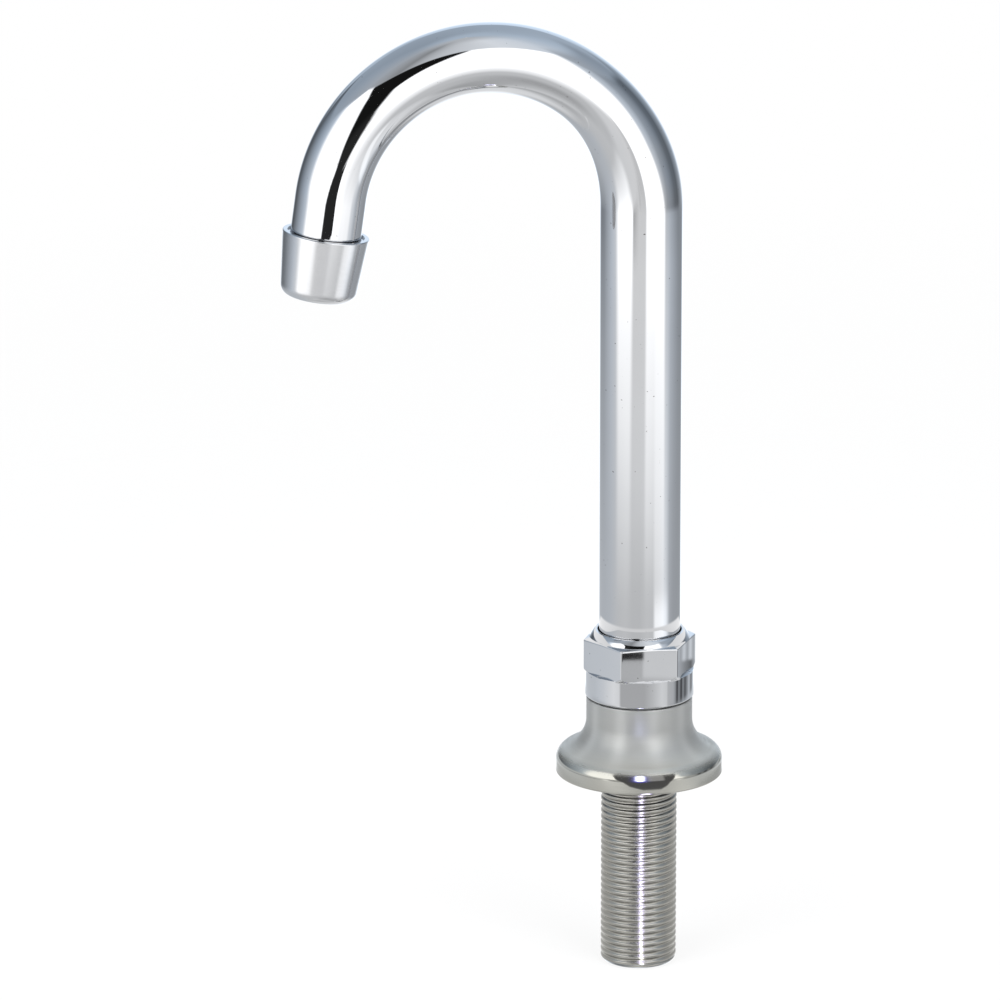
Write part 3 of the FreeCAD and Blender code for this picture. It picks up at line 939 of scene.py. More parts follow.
@dataclass
class Shank:
    """Threaded inlet shank with a true helix."""

    outer_r: float = 10.35
    bore_r: float = 7.5
    spigot_r: float = 10.0
    length: float = 54.1
    socket_depth: float = 7.0
    pitch: float = 25.4 / 14
    depth: float = 0.40
    crest: float = 0.52
    root: float = 0.36
    thread_round: float = 0.10
    run_out_start: float = 1.6
    run_out_length: float = 1.4
    end_chamfer: float = 0.9
    chamfer_round: float = 0.12
    bore_edge: float = 0.3
    shoulder: float = 0.02
    around: int = 144
    steps_per_turn: int = 18

    def groove(self, phase: Array) -> Array:
        """Depth of the thread across one pitch.

        Args:
            phase: Place in the pitch, from 0 to 1.

        Returns:
            Depth below the crest, with rounded corners.
        """
        away = np.abs((phase % 1.0) - 0.5) * self.pitch
        flank = (self.pitch - self.crest - self.root) / 2
        ramp = (self.pitch / 2 - self.crest / 2 - away) * self.depth / flank
        ramp = soft_max(ramp, np.zeros_like(ramp), self.thread_round)
        return soft_min(ramp, np.full_like(ramp, self.depth), self.thread_round)

    def mesh(self) -> bpy.types.Mesh:
        """Closed mesh of the shank.

        Returns:
            The mesh.
        """
        angle = circle(self.around)
        rows = []
        for z in np.arange(-self.length, 0.0, self.pitch / self.steps_per_turn):
            depth = self.groove(z / self.pitch - angle / math.tau)
            run_out = np.clip((z + self.run_out_start) / self.run_out_length, 0.0, 1.0)
            chamfer = np.full(angle.shape, self.outer_r - self.end_chamfer + (z + self.length))
            rows.append((soft_min(self.outer_r - depth * (1.0 - run_out), chamfer, self.chamfer_round), z))
        rows += [(self.outer_r, -self.shoulder), (self.spigot_r, 0.0), (self.spigot_r, self.socket_depth),
                 (self.bore_r, self.socket_depth), (self.bore_r, -self.length + self.bore_edge),
                 (self.bore_r + self.bore_edge, -self.length)]
        rings = np.array([ring(r, z, angle) for r, z in rows])
        return skin_mesh("threaded_shank", rings, True)

    def build(self, finish: Finishes) -> None:
        """Builds the shank in its finish."""
        piece(self.mesh(), finish, Body.BASE, "shank_nipple", "nickel_thread")


@dataclass
class Aerator:
    """Tapered outlet collar and the insert that it holds."""

    top: Vector = field(default_factory=lambda: Vector((0.0, -85.51048, 154.92948)))
    tilt: float = -8.0
    top_r: float = 11.65
    half_taper: float = 5.3
    length: float = 17.5
    foot_round: float = 2.8
    lip_round: float = 0.3
    mouth_round: float = 0.12
    bore_round: float = 0.2
    bore_r: float = 10.275
    bore_depth: float = 6.9
    pocket_r: float = 9.875
    shoulder_depth: float = 10.2
    cup_room_r: float = 8.675
    floor_depth: float = 15.8
    mouth_r: float = 7.07
    round_steps: int = 12
    around: int = 160

    def mesh(self) -> bpy.types.Mesh:
        """Closed mesh of the collar, with its depth below its own origin.

        Returns:
            The mesh.
        """
        foot_r = self.top_r - self.length * math.tan(math.radians(self.half_taper))
        corners = [
            (self.mouth_r, -self.length, self.mouth_round), (foot_r, -self.length, self.foot_round),
            (self.top_r, 0.0, self.lip_round), (self.bore_r, 0.0, self.bore_round),
            (self.bore_r, -self.bore_depth, 0.0), (self.pocket_r, -self.bore_depth, 0.0),
            (self.pocket_r, -self.shoulder_depth, 0.0), (self.cup_room_r, -self.shoulder_depth, 0.0),
            (self.cup_room_r, -self.floor_depth, 0.0), (self.mouth_r, -self.floor_depth, 0.0),
        ]
        return turned_mesh("outlet_collar", rounded(corners, self.round_steps), self.around)

    def build(self, frame: dict, finish: Finishes) -> None:
        """Builds the collar and dresses the insert.

        Args:
            frame: The loaded frame.
            finish: Materials by slot.
        """
        place = Matrix.Translation(self.top * MM) @ Matrix.Rotation(math.radians(self.tilt), 4, "X")
        piece(self.mesh(), finish, Body.COLLAR, "aerator_shell", "brushed_chrome", place)
        dress(frame, finish["seal_rubber"], "aerator_gasket")
        dress(frame, finish["insert_plastic"],
              "aerator_cartridge", "aerator_flow_disc", "aerator_mixing_ring", "aerator_spacer")
        dress(frame, finish["screen_steel"],
              "aerator_strainer", "aerator_screen_upper", "aerator_screen_lower")


# Studio, with lengths in metres and angles in degrees


@dataclass(frozen=True)
class Ramp:
    """Smooth rise from 0 at a low value to 1 at a high one."""

    low: float
    high: float

    def up(self, value: Array) -> Array:
        """Gives the share of the rise at each value."""
        share = np.clip((value - self.low) / (self.high - self.low), 0.0, 1.0)
        return share * share * (3 - 2 * share)

    def down(self, value: Array) -> Array:
        """Gives what is left of 1 above the rise."""
        return 1.0 - self.up(value)


@dataclass(frozen=True)
class Band:
    """Stretch of values with soft ends."""

    rise: Ramp
    fall: Ramp

    def at(self, value: Array) -> Array:
        """Gives 1 inside the stretch and 0 outside it."""
        return self.rise.up(value) * self.fall.down(value)


@dataclass(frozen=True)
class Hump:
    """Smooth hump that is 1 at its middle."""

    middle: float
    width: float
    power: int = 2

    def at(self, value: Array) -> Array:
        """Gives the hump's height at each value."""
        return np.exp(-(((value - self.middle) / self.width) ** self.power))


@dataclass(frozen=True)
class Curve:
    """Level that runs straight from stop to stop."""

    stops: tuple[Span, ...]

    def at(self, value: Array) -> Array:
        """Gives the level at each value."""
        places, levels = zip(*self.stops)
        return np.interp(value, places, levels)


def toward(level: Array, target: float | Array, share: Array) -> Array:
    """Moves a level to a target by a share."""
    return level + (target - level) * share


@dataclass
class Cloth:
    """Glowing cloth or card that only the metal mirrors.

    A turn is measured from the camera's side towards the outlet's side, and a lift from the level up.
    """

    facing: float = -11.6
    columns: int = 720
    ground_z: float = -0.0539
    black: float = 0.012
    black_haze: float = 0.02
    line: Hump = Hump(-7.0, 3.1, 4)
    tint: Colour = (0.99, 1.0, 1.01)
    cold_tint: Colour = (-0.04, 0.0, 0.05)
    cold_turns: Ramp = Ramp(50.0, 100.0)
    cold_reach: Ramp = Ramp(0.15, 0.22)

    def grid(self, rows: Array) -> Sequence[Array]:
        """Gives the row's value and the turn of each point, all the way round."""
        return np.meshgrid(rows, np.linspace(-180.0, 180.0, self.columns, endpoint=False), indexing="ij")

    def points(self, reach: Array, turn: Array, z: Array) -> Array:
        """Gives the points at a distance from the riser's axis, a turn and a height."""
        bearing = np.radians(self.facing - turn)
        return np.stack([reach * np.cos(bearing), reach * np.sin(bearing), z], axis=-1)

    def tinted(self, level: Array, turn: Array, reach: Array, cover: Array) -> Array:
        """Turns a light level into a colour, a little colder far out at the sides.

        Args:
            level: Light level of each point.
            turn: Its turn.
            reach: Its distance from the riser's axis.
            cover: Its cover, from clear to full.

        Returns:
            Linear colour and cover of each point.
        """
        side = self.cold_turns.up(np.abs(turn)) * self.cold_reach.up(reach)
        colour = level[..., None] * (np.array(self.tint) + np.multiply.outer(side, self.cold_tint))
        return np.concatenate([colour, cover[..., None]], axis=-1)

    def hang(self, name: str, points: Array, light: Array) -> None:
        """Puts the cloth in the scene, for mirrored rays only.

        Args:
            name: Name of the cloth.
            points: Its points, by row and then along the row.
            light: Linear colour and cover of each point.
        """
        mesh = skin_mesh(name, points / MM, False)
        paint = mesh.color_attributes.new("light", "FLOAT_COLOR", "POINT")
        paint.data.foreach_set("color", light.astype(np.float32).ravel())
        bench = NodeBench(bpy.data.materials.new(name))
        colour = bench.add("ShaderNodeVertexColor", layer_name="light")
        glow = bench.add("ShaderNodeEmission", {"Color": colour.outputs["Color"], "Strength": 1.0})
        clear = bench.add("ShaderNodeBsdfTransparent")
        material = bench.close(bench.mix(colour.outputs["Alpha"], clear, glow))
        material.cycles.emission_sampling = "NONE"
        mesh.materials.append(material)
        cloth = bpy.data.objects.new(name, mesh)
        bpy.context.scene.collection.objects.link(cloth)
        cloth.visible_camera = False
        cloth.visible_diffuse = False
        cloth.visible_shadow = False
        LOG.info("%s hangs in the studio: %d faces", name, len(mesh.polygons))


@dataclass
class LightTent(Cloth):
    """Large round tent with a ground, walls, a ceiling, two windows and a black slit between these."""

    columns: int = 360
    rows: int = 180
    radius: float = 3.0
    pole: float = 89.5
    ground: Curve = Curve((
        (-180, 1.7), (-166, 1.5), (-158, 0.8), (-150, 0.33), (-125, 0.46), (-106, 0.66), (-92, 0.82),
        (-80, 1.0), (-60, 1.1), (60, 1.1), (80, 0.95), (92, 0.84), (106, 0.66), (125, 0.43), (150, 0.36),
        (158, 0.8), (166, 1.4), (180, 1.7)))
    wall: Curve = Curve((
        (-180, 1.2), (-165, 1.1), (-157, 0.92), (-148, 0.55), (-135, 0.4), (-122, 0.2), (-108, 0.24),
        (-92, 0.42), (-78, 0.55), (-66, 0.9), (-57, 1.0), (0, 0.9), (60, 1.0), (80, 1.0), (95, 0.7),
        (114, 0.42), (130, 0.22), (143, 0.12), (153, 0.3), (165, 0.95), (180, 1.2)))
    ceiling: Curve = Curve((
        (-180, 0.63), (-150, 0.68), (-130, 0.72), (-100, 0.84), (-73, 0.95), (-56, 1.1), (-30, 1.2),
        (-10, 1.0), (0, 0.9), (12, 0.7), (24, 0.42), (40, 0.55), (62, 0.65), (92, 0.6), (120, 0.54),
        (150, 0.57), (180, 0.63)))
    ceiling_lift: Curve = Curve((
        (-180, 36), (-150, 33), (-134, 30), (-113, 35), (-94, 36), (-66, 38), (-57, 45.5), (45, 45.5),
        (56, 46), (82, 38), (97, 30), (120, 26), (150, 28), (180, 36)))
    ceiling_edge: Ramp = Ramp(-2.0, 2.0)
    wall_foot: Ramp = Ramp(-12.0, -8.0)
    zenith: Ramp = Ramp(68.0, 86.0)
    zenith_light: float = 0.78
    dim_turns: Band = Band(Ramp(-150.0, -118.0), Ramp(-64.0, -56.0))
    dim_lifts: Ramp = Ramp(46.0, 57.0)
    dim_share: float = 0.34
    back_turns: Band = Band(Ramp(136.0, 150.0), Ramp(160.0, 166.0))
    back_lifts: Ramp = Ramp(8.0, 17.0)
    back_light: float = 0.75
    side_turns: Ramp = Ramp(55.0, 95.0)
    side_lifts: Ramp = Ramp(0.0, 12.0)
    side_tint: Colour = (-0.08, 0.0, 0.1)
    blue_lifts: Ramp = Ramp(-10.0, 20.0)
    blue_turns: Ramp = Ramp(20.0, 120.0)
    blue_share: Span = (0.04, 0.12)
    blue_tint: Colour = (-1.0, 0.0, 1.2)
    window_light: float = 2.1
    window_blur: Span = (2.5, 6.5)
    blur_lifts: Ramp = Ramp(-13.5, -9.5)
    edge: Ramp = Ramp(-1.0, 1.0)
    left_edge: Curve = Curve(((-28, 30), (-14, 28), (0, 8), (7.5, 13), (20, 21), (36, 33), (45, 45)))
    left_top: Curve = Curve(((45, 45), (56, 46), (82, 36), (97, 27.5), (120, 15)))
    left_end: Curve = Curve(((-14, 69), (5, 78)))
    left_end_edge: Ramp = Ramp(-8.0, 8.0)
    left_foot: Ramp = Ramp(-32.0, -26.0)
    right_edge: Curve = Curve((
        (-28, -12), (-14, -13), (-10, -14.5), (-7, -13.5), (0, -8.5), (7.5, -3), (21, 2.5), (32.5, -7),
        (45, -15)))
    right_crisp: Ramp = Ramp(-0.8, 0.8)
    right_end: Curve = Curve(((-30, -74), (-14, -71), (10, -57), (45, -57)))
    right_end_edge: Ramp = Ramp(-5.0, 5.0)
    right_lifts: Band = Band(Ramp(-34.0, -26.0), Ramp(45.0, 47.0))
    slit_foot: Curve = Curve((
        (-20, -3.5), (-12, -5.6), (-8, -6.9), (-3, -8.6), (1, -9.4), (8, -10.2), (20, -10.6)))
    slit_foot_edge: Ramp = Ramp(-0.5, 0.7)
    slit_top: Ramp = Ramp(44.5, 46.5)
    slit_haze: Ramp = Ramp(2.0, 14.0)

    def walls(self, turn: Array, lift: Array) -> Array:
        """Light of the ground, the walls and the ceiling without the windows.

        Args:
            turn: Turn of each direction, from -180 to 180.
            lift: Its lift.

        Returns:
            Linear colour of each direction.
        """
        away = np.abs(turn)
        ceiling = toward(self.ceiling.at(turn), self.zenith_light, self.zenith.up(lift))
        ceiling = ceiling * (1.0 - self.dim_share * self.dim_turns.at(turn) * self.dim_lifts.down(lift))
        back = self.back_turns.at(turn) * self.back_lifts.up(lift)
        wall = toward(self.wall.at(turn), self.back_light, back)
        level = toward(self.ground.at(turn), wall, self.wall_foot.up(lift))
        level = toward(level, ceiling, self.ceiling_edge.up(lift - self.ceiling_lift.at(turn)))
        side = self.side_turns.up(away) * self.side_lifts.down(lift)
        least, more = self.blue_share
        blue = self.blue_lifts.up(lift) * (least + more * self.blue_turns.up(away))
        tint = 1.0 + np.multiply.outer(blue, self.blue_tint) + np.multiply.outer(side, self.side_tint)
        return level[..., None] * tint

    def tone(self, turn: Array, lift: Array) -> Array:
        """Light that comes from each direction of the tent.

        Args:
            turn: Turn of each direction, from -180 to 180.
            lift: Its lift.

        Returns:
            Linear colour of each direction.
        """
        light = self.walls(turn, lift)
        past_left = turn - self.left_edge.at(lift)
        past_right = turn - self.right_edge.at(lift)
        crisp, blurred = self.window_blur
        blur = crisp + (blurred - crisp) * self.blur_lifts.down(lift)
        left = self.edge.up(past_left / blur) * self.left_end_edge.down(turn - self.left_end.at(lift))
        left = left * self.edge.down(lift - self.left_top.at(turn)) * self.left_foot.up(lift)
        right = self.right_crisp.down(past_right / blur) * self.right_lifts.at(lift)
        right = right * self.right_end_edge.up(turn - self.right_end.at(lift))
        window = np.clip(left + right, 0.0, 1.0)
        light = toward(light, self.window_light, window[..., None])
        slit = self.edge.up(-past_left) * self.edge.up(past_right) * self.slit_top.down(lift)
        slit = slit * self.slit_foot_edge.up(lift - self.slit_foot.at(turn))
        black = self.black + self.black_haze * self.slit_haze.down(lift)
        return toward(light, black[..., None], slit[..., None])

    def build(self) -> None:
        """Hangs the tent."""
        lift, turn = self.grid(np.linspace(-self.pole, self.pole, self.rows))
        rise = np.radians(lift)
        light = np.ones((*turn.shape, 4))
        light[..., :3] = self.tone(turn, lift)
        points = self.points(self.radius * np.cos(rise), turn, self.radius * np.sin(rise))
        self.hang("light_tent", points, light)


@dataclass
class GroundCloth(Cloth):
    """Level cloth at the shank's foot, which the riser, the rim and the shank mirror."""

    reaches: tuple[tuple[float, float, int], ...] = ((0.011, 0.16, 30), (0.161, 0.36, 60), (0.37, 0.86, 40))
    full_reach: float = 0.35
    end_reach: float = 0.85
    light: Curve = Curve((
        (-180, 1.7), (-166, 1.5), (-158, 0.8), (-150, 0.5), (-106, 0.58), (-90, 0.68), (-78, 1.1),
        (-68, 1.3), (-44, 1.15), (-36, 0.9), (-20, 0.92), (0, 0.84), (20, 0.84), (40, 0.9), (68, 0.86),
        (92, 0.8), (123, 0.74), (150, 0.7), (158, 0.9), (166, 1.4), (180, 1.7)))
    far_light: float = 0.22
    far_turns: Hump = Hump(0.0, 60.0)
    far_reach: Ramp = Ramp(0.36, 0.52)
    stripe_light: float = 0.45
    stripe_turns: Band = Band(Ramp(-96.0, -76.0), Ramp(-46.0, -36.0))
    stripe_reach: Band = Band(Ramp(0.26, 0.3), Ramp(0.34, 0.38))
    shade_share: float = 0.3
    shade_turns: Hump = Hump(0.0, 24.0)
    shade_reach: Ramp = Ramp(0.2, 0.32)
    inner_light: Curve = Curve((
        (-180, 1.2), (-117, 1.06), (-97, 1.15), (-80, 0.82), (-64, 0.85), (-50, 0.9), (-37, 0.6),
        (-25, 0.64), (0, 0.7), (25, 0.9), (37, 1.0), (50, 0.73), (64, 0.72), (80, 0.86), (97, 0.97),
        (117, 1.13), (180, 1.2)))
    inner_reach: Ramp = Ramp(0.1, 0.2)
    line_light: float = 8.0
    line_reach: Ramp = Ramp(0.029, 0.031)

    def tone(self, turn: Array, reach: Array) -> Array:
        """Light of the cloth.

        Args:
            turn: Turn of each point, from -180 to 180.
            reach: Its distance from the riser's axis.

        Returns:
            Linear colour and cover of each point.
        """
        level = self.light.at(turn)
        level = level + self.far_light * self.far_turns.at(turn) * self.far_reach.up(reach)
        level = level + self.stripe_light * self.stripe_turns.at(turn) * self.stripe_reach.at(reach)
        level = level * (1.0 - self.shade_share * self.shade_turns.at(turn) * self.shade_reach.down(reach))
        level = toward(level, self.inner_light.at(turn), self.inner_reach.down(reach))
        level = level + self.line_light * self.line.at(turn) * self.line_reach.down(reach)
        cover = np.clip((self.end_reach - reach) / (self.end_reach - self.full_reach), 0.0, 1.0)
        return self.tinted(level, turn, reach, cover)

    def build(self) -> None:
        """Hangs the cloth."""
        reach, turn = self.grid(np.concatenate([np.linspace(*rows) for rows in self.reaches]))
        points = self.points(reach, turn, np.full_like(reach, self.ground_z))
        self.hang("ground_cloth", points, self.tone(turn, reach))


@dataclass
class CrownRing(Cloth):
    """Small white ring over the nut, which stands off from it at the front."""

    z: float = 0.0409
    reaches: Span = (0.0117, 0.0230)
    rows: int = 40
    front_light: float = 1.08
    side_light: float = 1.3
    side_turns: Ramp = Ramp(20.0, 90.0)
    front_start: float = 0.0165
    side_start: float = 0.0117
    start_turns: Ramp = Ramp(40.0, 62.0)
    start_edge: Ramp = Ramp(0.0, 0.0005)
    end_edge: Ramp = Ramp(0.0185, 0.0210)
    end_turns: Ramp = Ramp(104.0, 120.0)

    def tone(self, turn: Array, reach: Array) -> Array:
        """Light of the ring.

        Args:
            turn: Turn of each point, from -180 to 180.
            reach: Its distance from the riser's axis.

        Returns:
            Linear colour and cover of each point.
        """
        away = np.abs(turn)
        level = self.front_light + (self.side_light - self.front_light) * self.side_turns.up(away)
        start = self.front_start + (self.side_start - self.front_start) * self.start_turns.up(away)
        cover = self.start_edge.up(reach - start) * self.end_edge.down(reach) * self.end_turns.down(away)
        return np.stack([level, level, level, cover], axis=-1)

    def build(self) -> None:
        """Hangs the ring."""
        reach, turn = self.grid(np.linspace(*self.reaches, self.rows))
        points = self.points(reach, turn, np.full_like(reach, self.z))
        self.hang("crown_ring", points, self.tone(turn, reach))


@dataclass
class BaseSleeve(Cloth):
    """Clear sleeve round the base and the shank, with a dark flag, a glint, a lit line and grey sides.

    Its heights over the deck are in millimetres.
    """

    radius: float = 0.03
    coarse_rows: int = 30
    coarse_top: float = -4.1
    fine_rows: int = 180
    fine_heights: Span = (-4.0, 13.6)
    flag_left: Curve = Curve(((-0.8, -3.0), (0.0, 7.5), (1.0, 13.0), (4.4, 20.0), (10.0, 24.0)))
    flag_right: Curve = Curve(((-0.8, -20.0), (0.0, -25.0), (1.0, -28.0), (4.4, -31.0), (10.0, -34.0)))
    flag_edge: Ramp = Ramp(-0.8, 0.8)
    flag_heights: Band = Band(Ramp(-1.1, -0.6), Ramp(12.6, 13.3))
    flag_light: float = 0.15
    flag_colour: Colour = (1.0, 1.0, 1.06)
    pale_light: float = 0.42
    pale_turns: Band = Band(Ramp(-23.5, -20.5), Ramp(-9.0, -6.0))
    pale_heights: Ramp = Ramp(2.4, 4.4)
    glint: Hump = Hump(-0.9, 2.9)
    glint_heights: Band = Band(Ramp(2.6, 4.8), Ramp(10.8, 12.2))
    glint_colour: Colour = (10.0, 10.5, 13.0)
    halo: Hump = Hump(-0.9, 5.0)
    halo_heights: Band = Band(Ramp(1.0, 3.5), Ramp(10.8, 12.2))
    halo_colour: Colour = (0.15, 0.12, 1.7)
    line_top: Ramp = Ramp(-3.2, -2.4)
    line_colour: Colour = (8.0, 8.0, 9.0)
    fringe: Hump = Hump(-7.0, 5.6, 4)
    fringe_colour: Colour = (0.8, 0.5, 2.4)
    wrap_light: float = 0.8
    wrap_cover: float = 0.75
    wrap_turns: Ramp = Ramp(62.0, 100.0)
    wrap_top: Ramp = Ramp(-6.0, -4.2)

    def tone(self, turn: Array, height: Array) -> Array:
        """Light of the sleeve.

        Args:
            turn: Turn of each point, from -180 to 180.
            height: Its height over the deck, in millimetres.

        Returns:
            Linear colour and cover of each point.
        """
        flag = self.flag_edge.up(self.flag_left.at(height) - turn) * self.flag_heights.at(height)
        flag = flag * self.flag_edge.up(turn - self.flag_right.at(height))
        shade = self.flag_light + self.pale_light * self.pale_turns.at(turn) * self.pale_heights.up(height)
        below = self.line_top.down(height)
        fringe = self.fringe.at(turn) * below
        wrap = self.wrap_turns.up(np.abs(turn)) * self.wrap_top.down(height)
        lights = (
            (shade * flag, self.flag_colour),
            (self.glint.at(turn) * self.glint_heights.at(height), self.glint_colour),
            (self.halo.at(turn) * self.halo_heights.at(height), self.halo_colour),
            (self.line.at(turn) * below, self.line_colour),
            (fringe, self.fringe_colour),
            (np.where(wrap > 0.0, self.wrap_light, 0.0), (1.0, 1.0, 1.0)),
        )
        light = np.ones((*turn.shape, 4))
        light[..., :3] = sum(np.multiply.outer(level, colour) for level, colour in lights)
        light[..., 3] = np.clip(flag + fringe + self.wrap_cover * wrap, 0.0, 1.0)
        return light

    def build(self) -> None:
        """Hangs the sleeve, with closer rows where its drawing is fine."""
        coarse = np.linspace(self.ground_z / MM, self.coarse_top, self.coarse_rows)
        fine = np.linspace(*self.fine_heights, self.fine_rows)
        height, turn = self.grid(np.append(coarse, fine))
        points = self.points(np.full_like(height, self.radius), turn, height * MM)
        self.hang("base_sleeve", points, self.tone(turn, height))


@dataclass
class BaseFence(Cloth):
    """Low leaning fence round the base, which the nut, the base's neck and the rim mirror.

    Its drawing is laid out by reach, where a ray that grazes the fence would meet the ground cloth.
    """

    top_r: float = 0.145
    top_z: float = -0.0014
    lean: float = 0.78
    rows: int = 130
    ray_slope: float = 0.325
    top_edge: Ramp = Ramp(-0.0034, -0.0014)
    skirt_light: Curve = Curve((
        (-180, 1.6), (-166, 1.5), (-156, 0.8), (-147, 0.75), (-142, 0.2), (-136, 0.4), (-127, 0.81),
        (-118, 0.4), (-110, 0.14), (-103, 0.42), (-97, 0.06), (-90, 0.42), (-84.5, 0.06), (-79, 0.5),
        (-74, 0.7), (-61, 0.76), (-58, 1.0), (-47, 1.08), (-28, 0.84), (-10, 0.66), (38, 0.66), (42, 1.12),
        (54, 1.2), (80, 0.98), (106, 0.86), (150, 0.8), (164, 1.5), (180, 1.6)))
    hexagon_reach: Ramp = Ramp(0.277, 0.281)
    front_turns: Band = Band(Ramp(-46.0, -38.0), Ramp(18.0, 30.0))
    front_light: Span = (0.74, 1.0)
    front_split: Ramp = Ramp(-20.4, -19.4)
    patch_reach: Ramp = Ramp(0.2957, 0.2963)
    patch_turns: Band = Band(Ramp(-20.6, -19.6), Ramp(8.0, 12.0))
    ripple_turns: Band = Band(Ramp(-152.0, -150.0), Ramp(-131.0, -129.0))
    ripple_light: float = 0.74
    ripple_height: float = 0.16
    ripple_rate: float = 1.1
    neck_light: float = 0.55
    neck_humps: tuple[tuple[float, Hump], ...] = ((1.1, Hump(43.0, 6.0)), (0.9, Hump(-53.0, 7.0)))
    neck_side: float = 0.3
    neck_side_turns: Ramp = Ramp(85.0, 130.0)
    neck_reach: Ramp = Ramp(0.246, 0.254)
    rim_lobe: Curve = Curve(((0.188, 18.0), (0.2, 40.0)))
    rim_lobe_hump: Hump = Hump(0.0, 15.0)
    rim_lobe_light: float = 0.3
    rim_right_hump: Hump = Hump(-60.0, 12.0)
    rim_right_light: float = 0.1
    rim_reach: Ramp = Ramp(0.208, 0.225)

    def spread(self, z: Array) -> Array:
        """Gives the fence's distance from the riser's axis at a height."""
        return self.top_r + (self.top_z - z) * self.lean

    def hexagon_tone(self, level: Array, turn: Array, reach: Array) -> Array:
        """Lays the hexagon's bands over a light level.

        Args:
            level: Light level of each point.
            turn: Its turn.
            reach: Its reach.

        Returns:
            New light level of each point.
        """
        zone = self.hexagon_reach.up(reach)
        dark, light = self.front_light
        front = dark + (light - dark) * self.front_split.down(turn)
        level = toward(level, front, zone * self.front_turns.at(turn))
        level = toward(level, self.black, self.patch_reach.up(reach) * self.patch_turns.at(turn))
        ripple = self.ripple_light + self.ripple_height * np.sin(turn * self.ripple_rate)
        return toward(level, ripple, zone * self.ripple_turns.at(turn))

    def tone(self, turn: Array, z: Array) -> Array:
        """Light of the fence.

        Args:
            turn: Turn of each point, from -180 to 180.
            z: Its height over the deck.

        Returns:
            Linear colour and cover of each point.
        """
        reach = self.spread(z) + (z - self.ground_z) / self.ray_slope
        level = self.hexagon_tone(self.skirt_light.at(turn), turn, reach)
        neck = self.neck_light + sum(light * hump.at(turn) for light, hump in self.neck_humps)
        neck = neck + self.neck_side * self.neck_side_turns.up(np.abs(turn))
        level = toward(level, neck, self.neck_reach.down(reach))
        rim = 1.0 + self.rim_lobe_light * self.rim_lobe_hump.at(turn - self.rim_lobe.at(reach))
        rim = rim + self.rim_right_light * self.rim_right_hump.at(turn)
        level = toward(level, rim, self.rim_reach.down(reach))
        return self.tinted(level, turn, reach, self.top_edge.down(z))

    def build(self) -> None:
        """Hangs the fence."""
        z, turn = self.grid(np.linspace(self.ground_z, self.top_z, self.rows))
        self.hang("base_fence", self.points(self.spread(z), turn, z), self.tone(turn, z))


@dataclass
class OutletCard(Cloth):
    """Small black card, bent round the outlet's axis, which the outlet's end of the spout mirrors."""

    outlet_y: float = -0.0855
    radius: float = 0.105
    thickness: float = 0.001
    turns: Span = (-17.0, 4.0)
    heights: Span = (0.134, 0.158)
    columns: int = 24
    rows: int = 8

    def build(self) -> None:
        """Hangs the card, front and back."""
        turns = np.linspace(*self.turns, self.columns)
        heights = np.linspace(*self.heights, self.rows)
        z, turn = np.meshgrid(heights, np.append(turns, turns[::-1]), indexing="ij")
        reach = self.radius + np.repeat([0.0, self.thickness], self.columns)
        light = np.full((*z.shape, 4), self.black + self.black_haze)
        light[..., 3] = 1.0
        self.hang("outlet_card", self.points(reach, turn, z) + (0.0, self.outlet_y, 0.0), light)


@dataclass(frozen=True)
class Lamp:
    """Soft square lamp that the metal does not mirror."""

    name: str
    turn: float
    lift: float
    size: float
    watts: float
    distance: float = 1.4
    aim_z: float = 0.05

    def build(self, facing: float) -> None:
        """Puts the lamp in the scene.

        Args:
            facing: Bearing of the camera's side.
        """
        data = bpy.data.lights.new(self.name, "AREA")
        data.size = self.size
        data.energy = self.watts
        lamp = bpy.data.objects.new(self.name, data)
        bearing = math.radians(facing - self.turn)
        rise = math.radians(self.lift)
        flat = math.cos(rise)
        way = Vector((flat * math.cos(bearing), flat * math.sin(bearing), math.sin(rise)))
        lamp.location = Vector((0.0, 0.0, self.aim_z)) + way * self.distance
        lamp.rotation_euler = way.to_track_quat("Z", "Y").to_euler()
        lamp.visible_glossy = False
        bpy.context.scene.collection.objects.link(lamp)


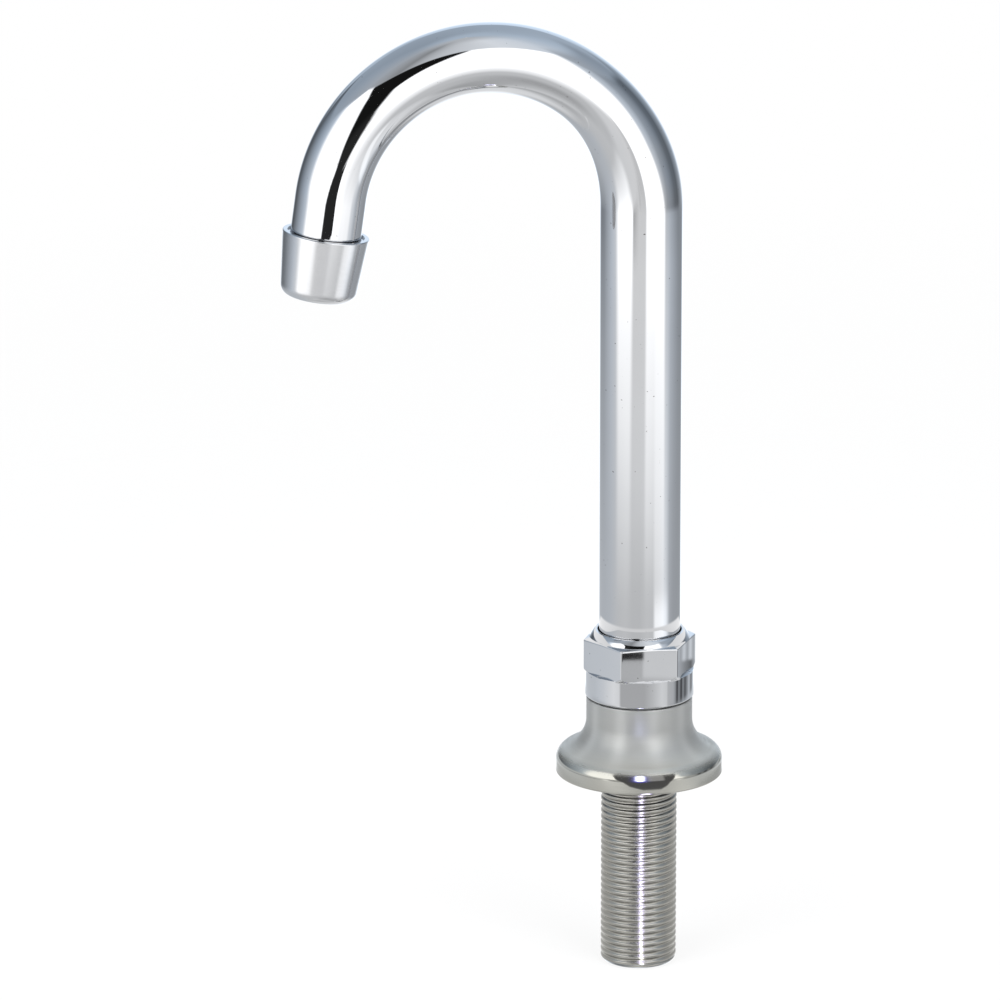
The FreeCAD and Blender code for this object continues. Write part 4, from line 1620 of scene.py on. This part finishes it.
@dataclass
class Studio:
    """Pale floor, white surround, cloths, soft lamps and camera."""

    floor_z: float = -0.0544
    floor_r: float = 0.9
    floor_inner_r: float = 0.001
    floor_rows: int = 24
    floor_around: int = 96
    floor_fade: float = 0.45
    floor_white: float = 0.85
    paper_mm: float = 30.0
    paper: tuple[Colour, Colour] = ((0.86, 0.86, 0.86), (0.90, 0.90, 0.90))
    soft_colour: Colour = (0.95, 0.97, 1.0)
    soft_light: float = 0.55
    lift: float = 15.4
    turn: float = 11.6
    roll: float = -0.06
    distance: float = 2.0
    view_width: float = 0.27005
    aim_z: float = 0.09545
    centre_right: float = -0.03785
    centre_up: float = -0.01821
    sensor_mm: float = 36.0
    far_clip: float = 20.0
    lamps: tuple[Lamp, ...] = (
        Lamp("left_lamp", 45.0, 35.0, 0.9, 9.0),
        Lamp("right_lamp", -40.0, 35.0, 0.9, 9.0),
        Lamp("top_lamp", 0.0, 80.0, 1.0, 6.0),
    )

    @staticmethod
    def seen(bench: NodeBench) -> Socket:
        """Gives 1 for camera, mirrored and refracted rays, and 0 for the rest.

        Args:
            bench: Node tree to add to.

        Returns:
            Socket with the share.
        """
        path = bench.add("ShaderNodeLightPath").outputs
        both = bench.maths("MAXIMUM", path["Is Camera Ray"], path["Is Glossy Ray"])
        return bench.maths("MAXIMUM", both, path["Is Transmission Ray"])

    def floor(self) -> None:
        """Builds the round pale floor, which keeps the shadow."""
        angle = circle(self.floor_around)
        reaches = np.linspace(self.floor_inner_r, self.floor_r, self.floor_rows) / MM
        rings = np.array([ring(r, self.floor_z / MM, angle) for r in reaches])
        mesh = skin_mesh("studio_floor", rings, False)
        bench = NodeBench(bpy.data.materials.new("floor_paper"))
        place = bench.place()
        colour = bench.blend(bench.noise(place, self.paper_mm, detail=3.0), *self.paper)
        paper = bench.add("ShaderNodeBsdfDiffuse", {"Color": colour, "Roughness": 0.5})
        white = bench.add("ShaderNodeEmission", {"Color": (1.0, 1.0, 1.0, 1.0), "Strength": 1.0})
        lit = bench.mix(bench.maths("MULTIPLY", self.seen(bench), self.floor_white), paper, white)
        reach = bench.add("ShaderNodeVectorMath", {"Vector": place}, operation="LENGTH").outputs["Value"]
        fade = bench.spread(reach, (self.floor_r * self.floor_fade, self.floor_r), UNIT)
        mesh.materials.append(bench.close(bench.mix(fade, lit, bench.add("ShaderNodeBsdfTransparent"))))
        ground = bpy.data.objects.new("studio_floor", mesh)
        ground.visible_glossy = False
        bpy.context.scene.collection.objects.link(ground)
        LOG.info("%s lies under the part: %d faces", ground.name, len(mesh.polygons))

    def surround(self) -> None:
        """Sets a white surround for what is seen and mirrored, and plain soft light for the rest."""
        bench = NodeBench(bpy.data.worlds.new("studio_world"))
        soft = {"Color": (*self.soft_colour, 1.0), "Strength": self.soft_light}
        white = {"Color": (1.0, 1.0, 1.0, 1.0), "Strength": 1.0}
        shaders = [bench.add("ShaderNodeBackground", inputs) for inputs in (soft, white)]
        bpy.context.scene.world = bench.close(bench.mix(self.seen(bench), *shaders))

    def camera(self) -> None:
        """Sets the camera at the photograph's viewing angle."""
        data = bpy.data.cameras.new("studio_camera")
        data.sensor_width = self.sensor_mm
        data.lens = self.sensor_mm * self.distance / self.view_width
        data.clip_end = self.far_clip
        camera = bpy.data.objects.new("studio_camera", data)
        lift, turn = math.radians(self.lift), math.radians(self.turn)
        back = Vector((math.cos(lift) * math.cos(turn), -math.cos(lift) * math.sin(turn), math.sin(lift)))
        right = Vector((math.sin(turn), math.cos(turn), 0.0))
        up = back.cross(right)
        aim = Vector((0.0, 0.0, self.aim_z))
        spot = aim + back * self.distance
        target = aim + right * self.centre_right + up * self.centre_up
        look = (spot - target).normalized().to_track_quat("Z", "Y").to_matrix().to_4x4()
        roll = Matrix.Rotation(math.radians(self.roll), 4, "Z")
        camera.matrix_world = Matrix.Translation(spot) @ look @ roll
        bpy.context.scene.collection.objects.link(camera)
        bpy.context.scene.camera = camera

    def build(self) -> None:
        """Builds the whole studio."""
        self.camera()
        self.floor()
        self.surround()
        for cloth in (LightTent, GroundCloth, CrownRing, BaseSleeve, BaseFence, OutletCard):
            cloth(facing=-self.turn).build()
        for lamp in self.lamps:
            lamp.build(-self.turn)
        bpy.context.scene.view_settings.view_transform = "Standard"


def main() -> None:
    """Builds the faucet and its studio."""
    logging.basicConfig(level=logging.INFO, format="%(message)s")
    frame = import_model()
    finish = FinishSet().build()
    Studio().build()
    Spout().build(frame, finish)
    SpoutNut().build(frame, finish)
    DeckBase().build(frame, finish)
    Shank().build(finish)
    Aerator().build(frame, finish)


if __name__ == "__main__":
    main()
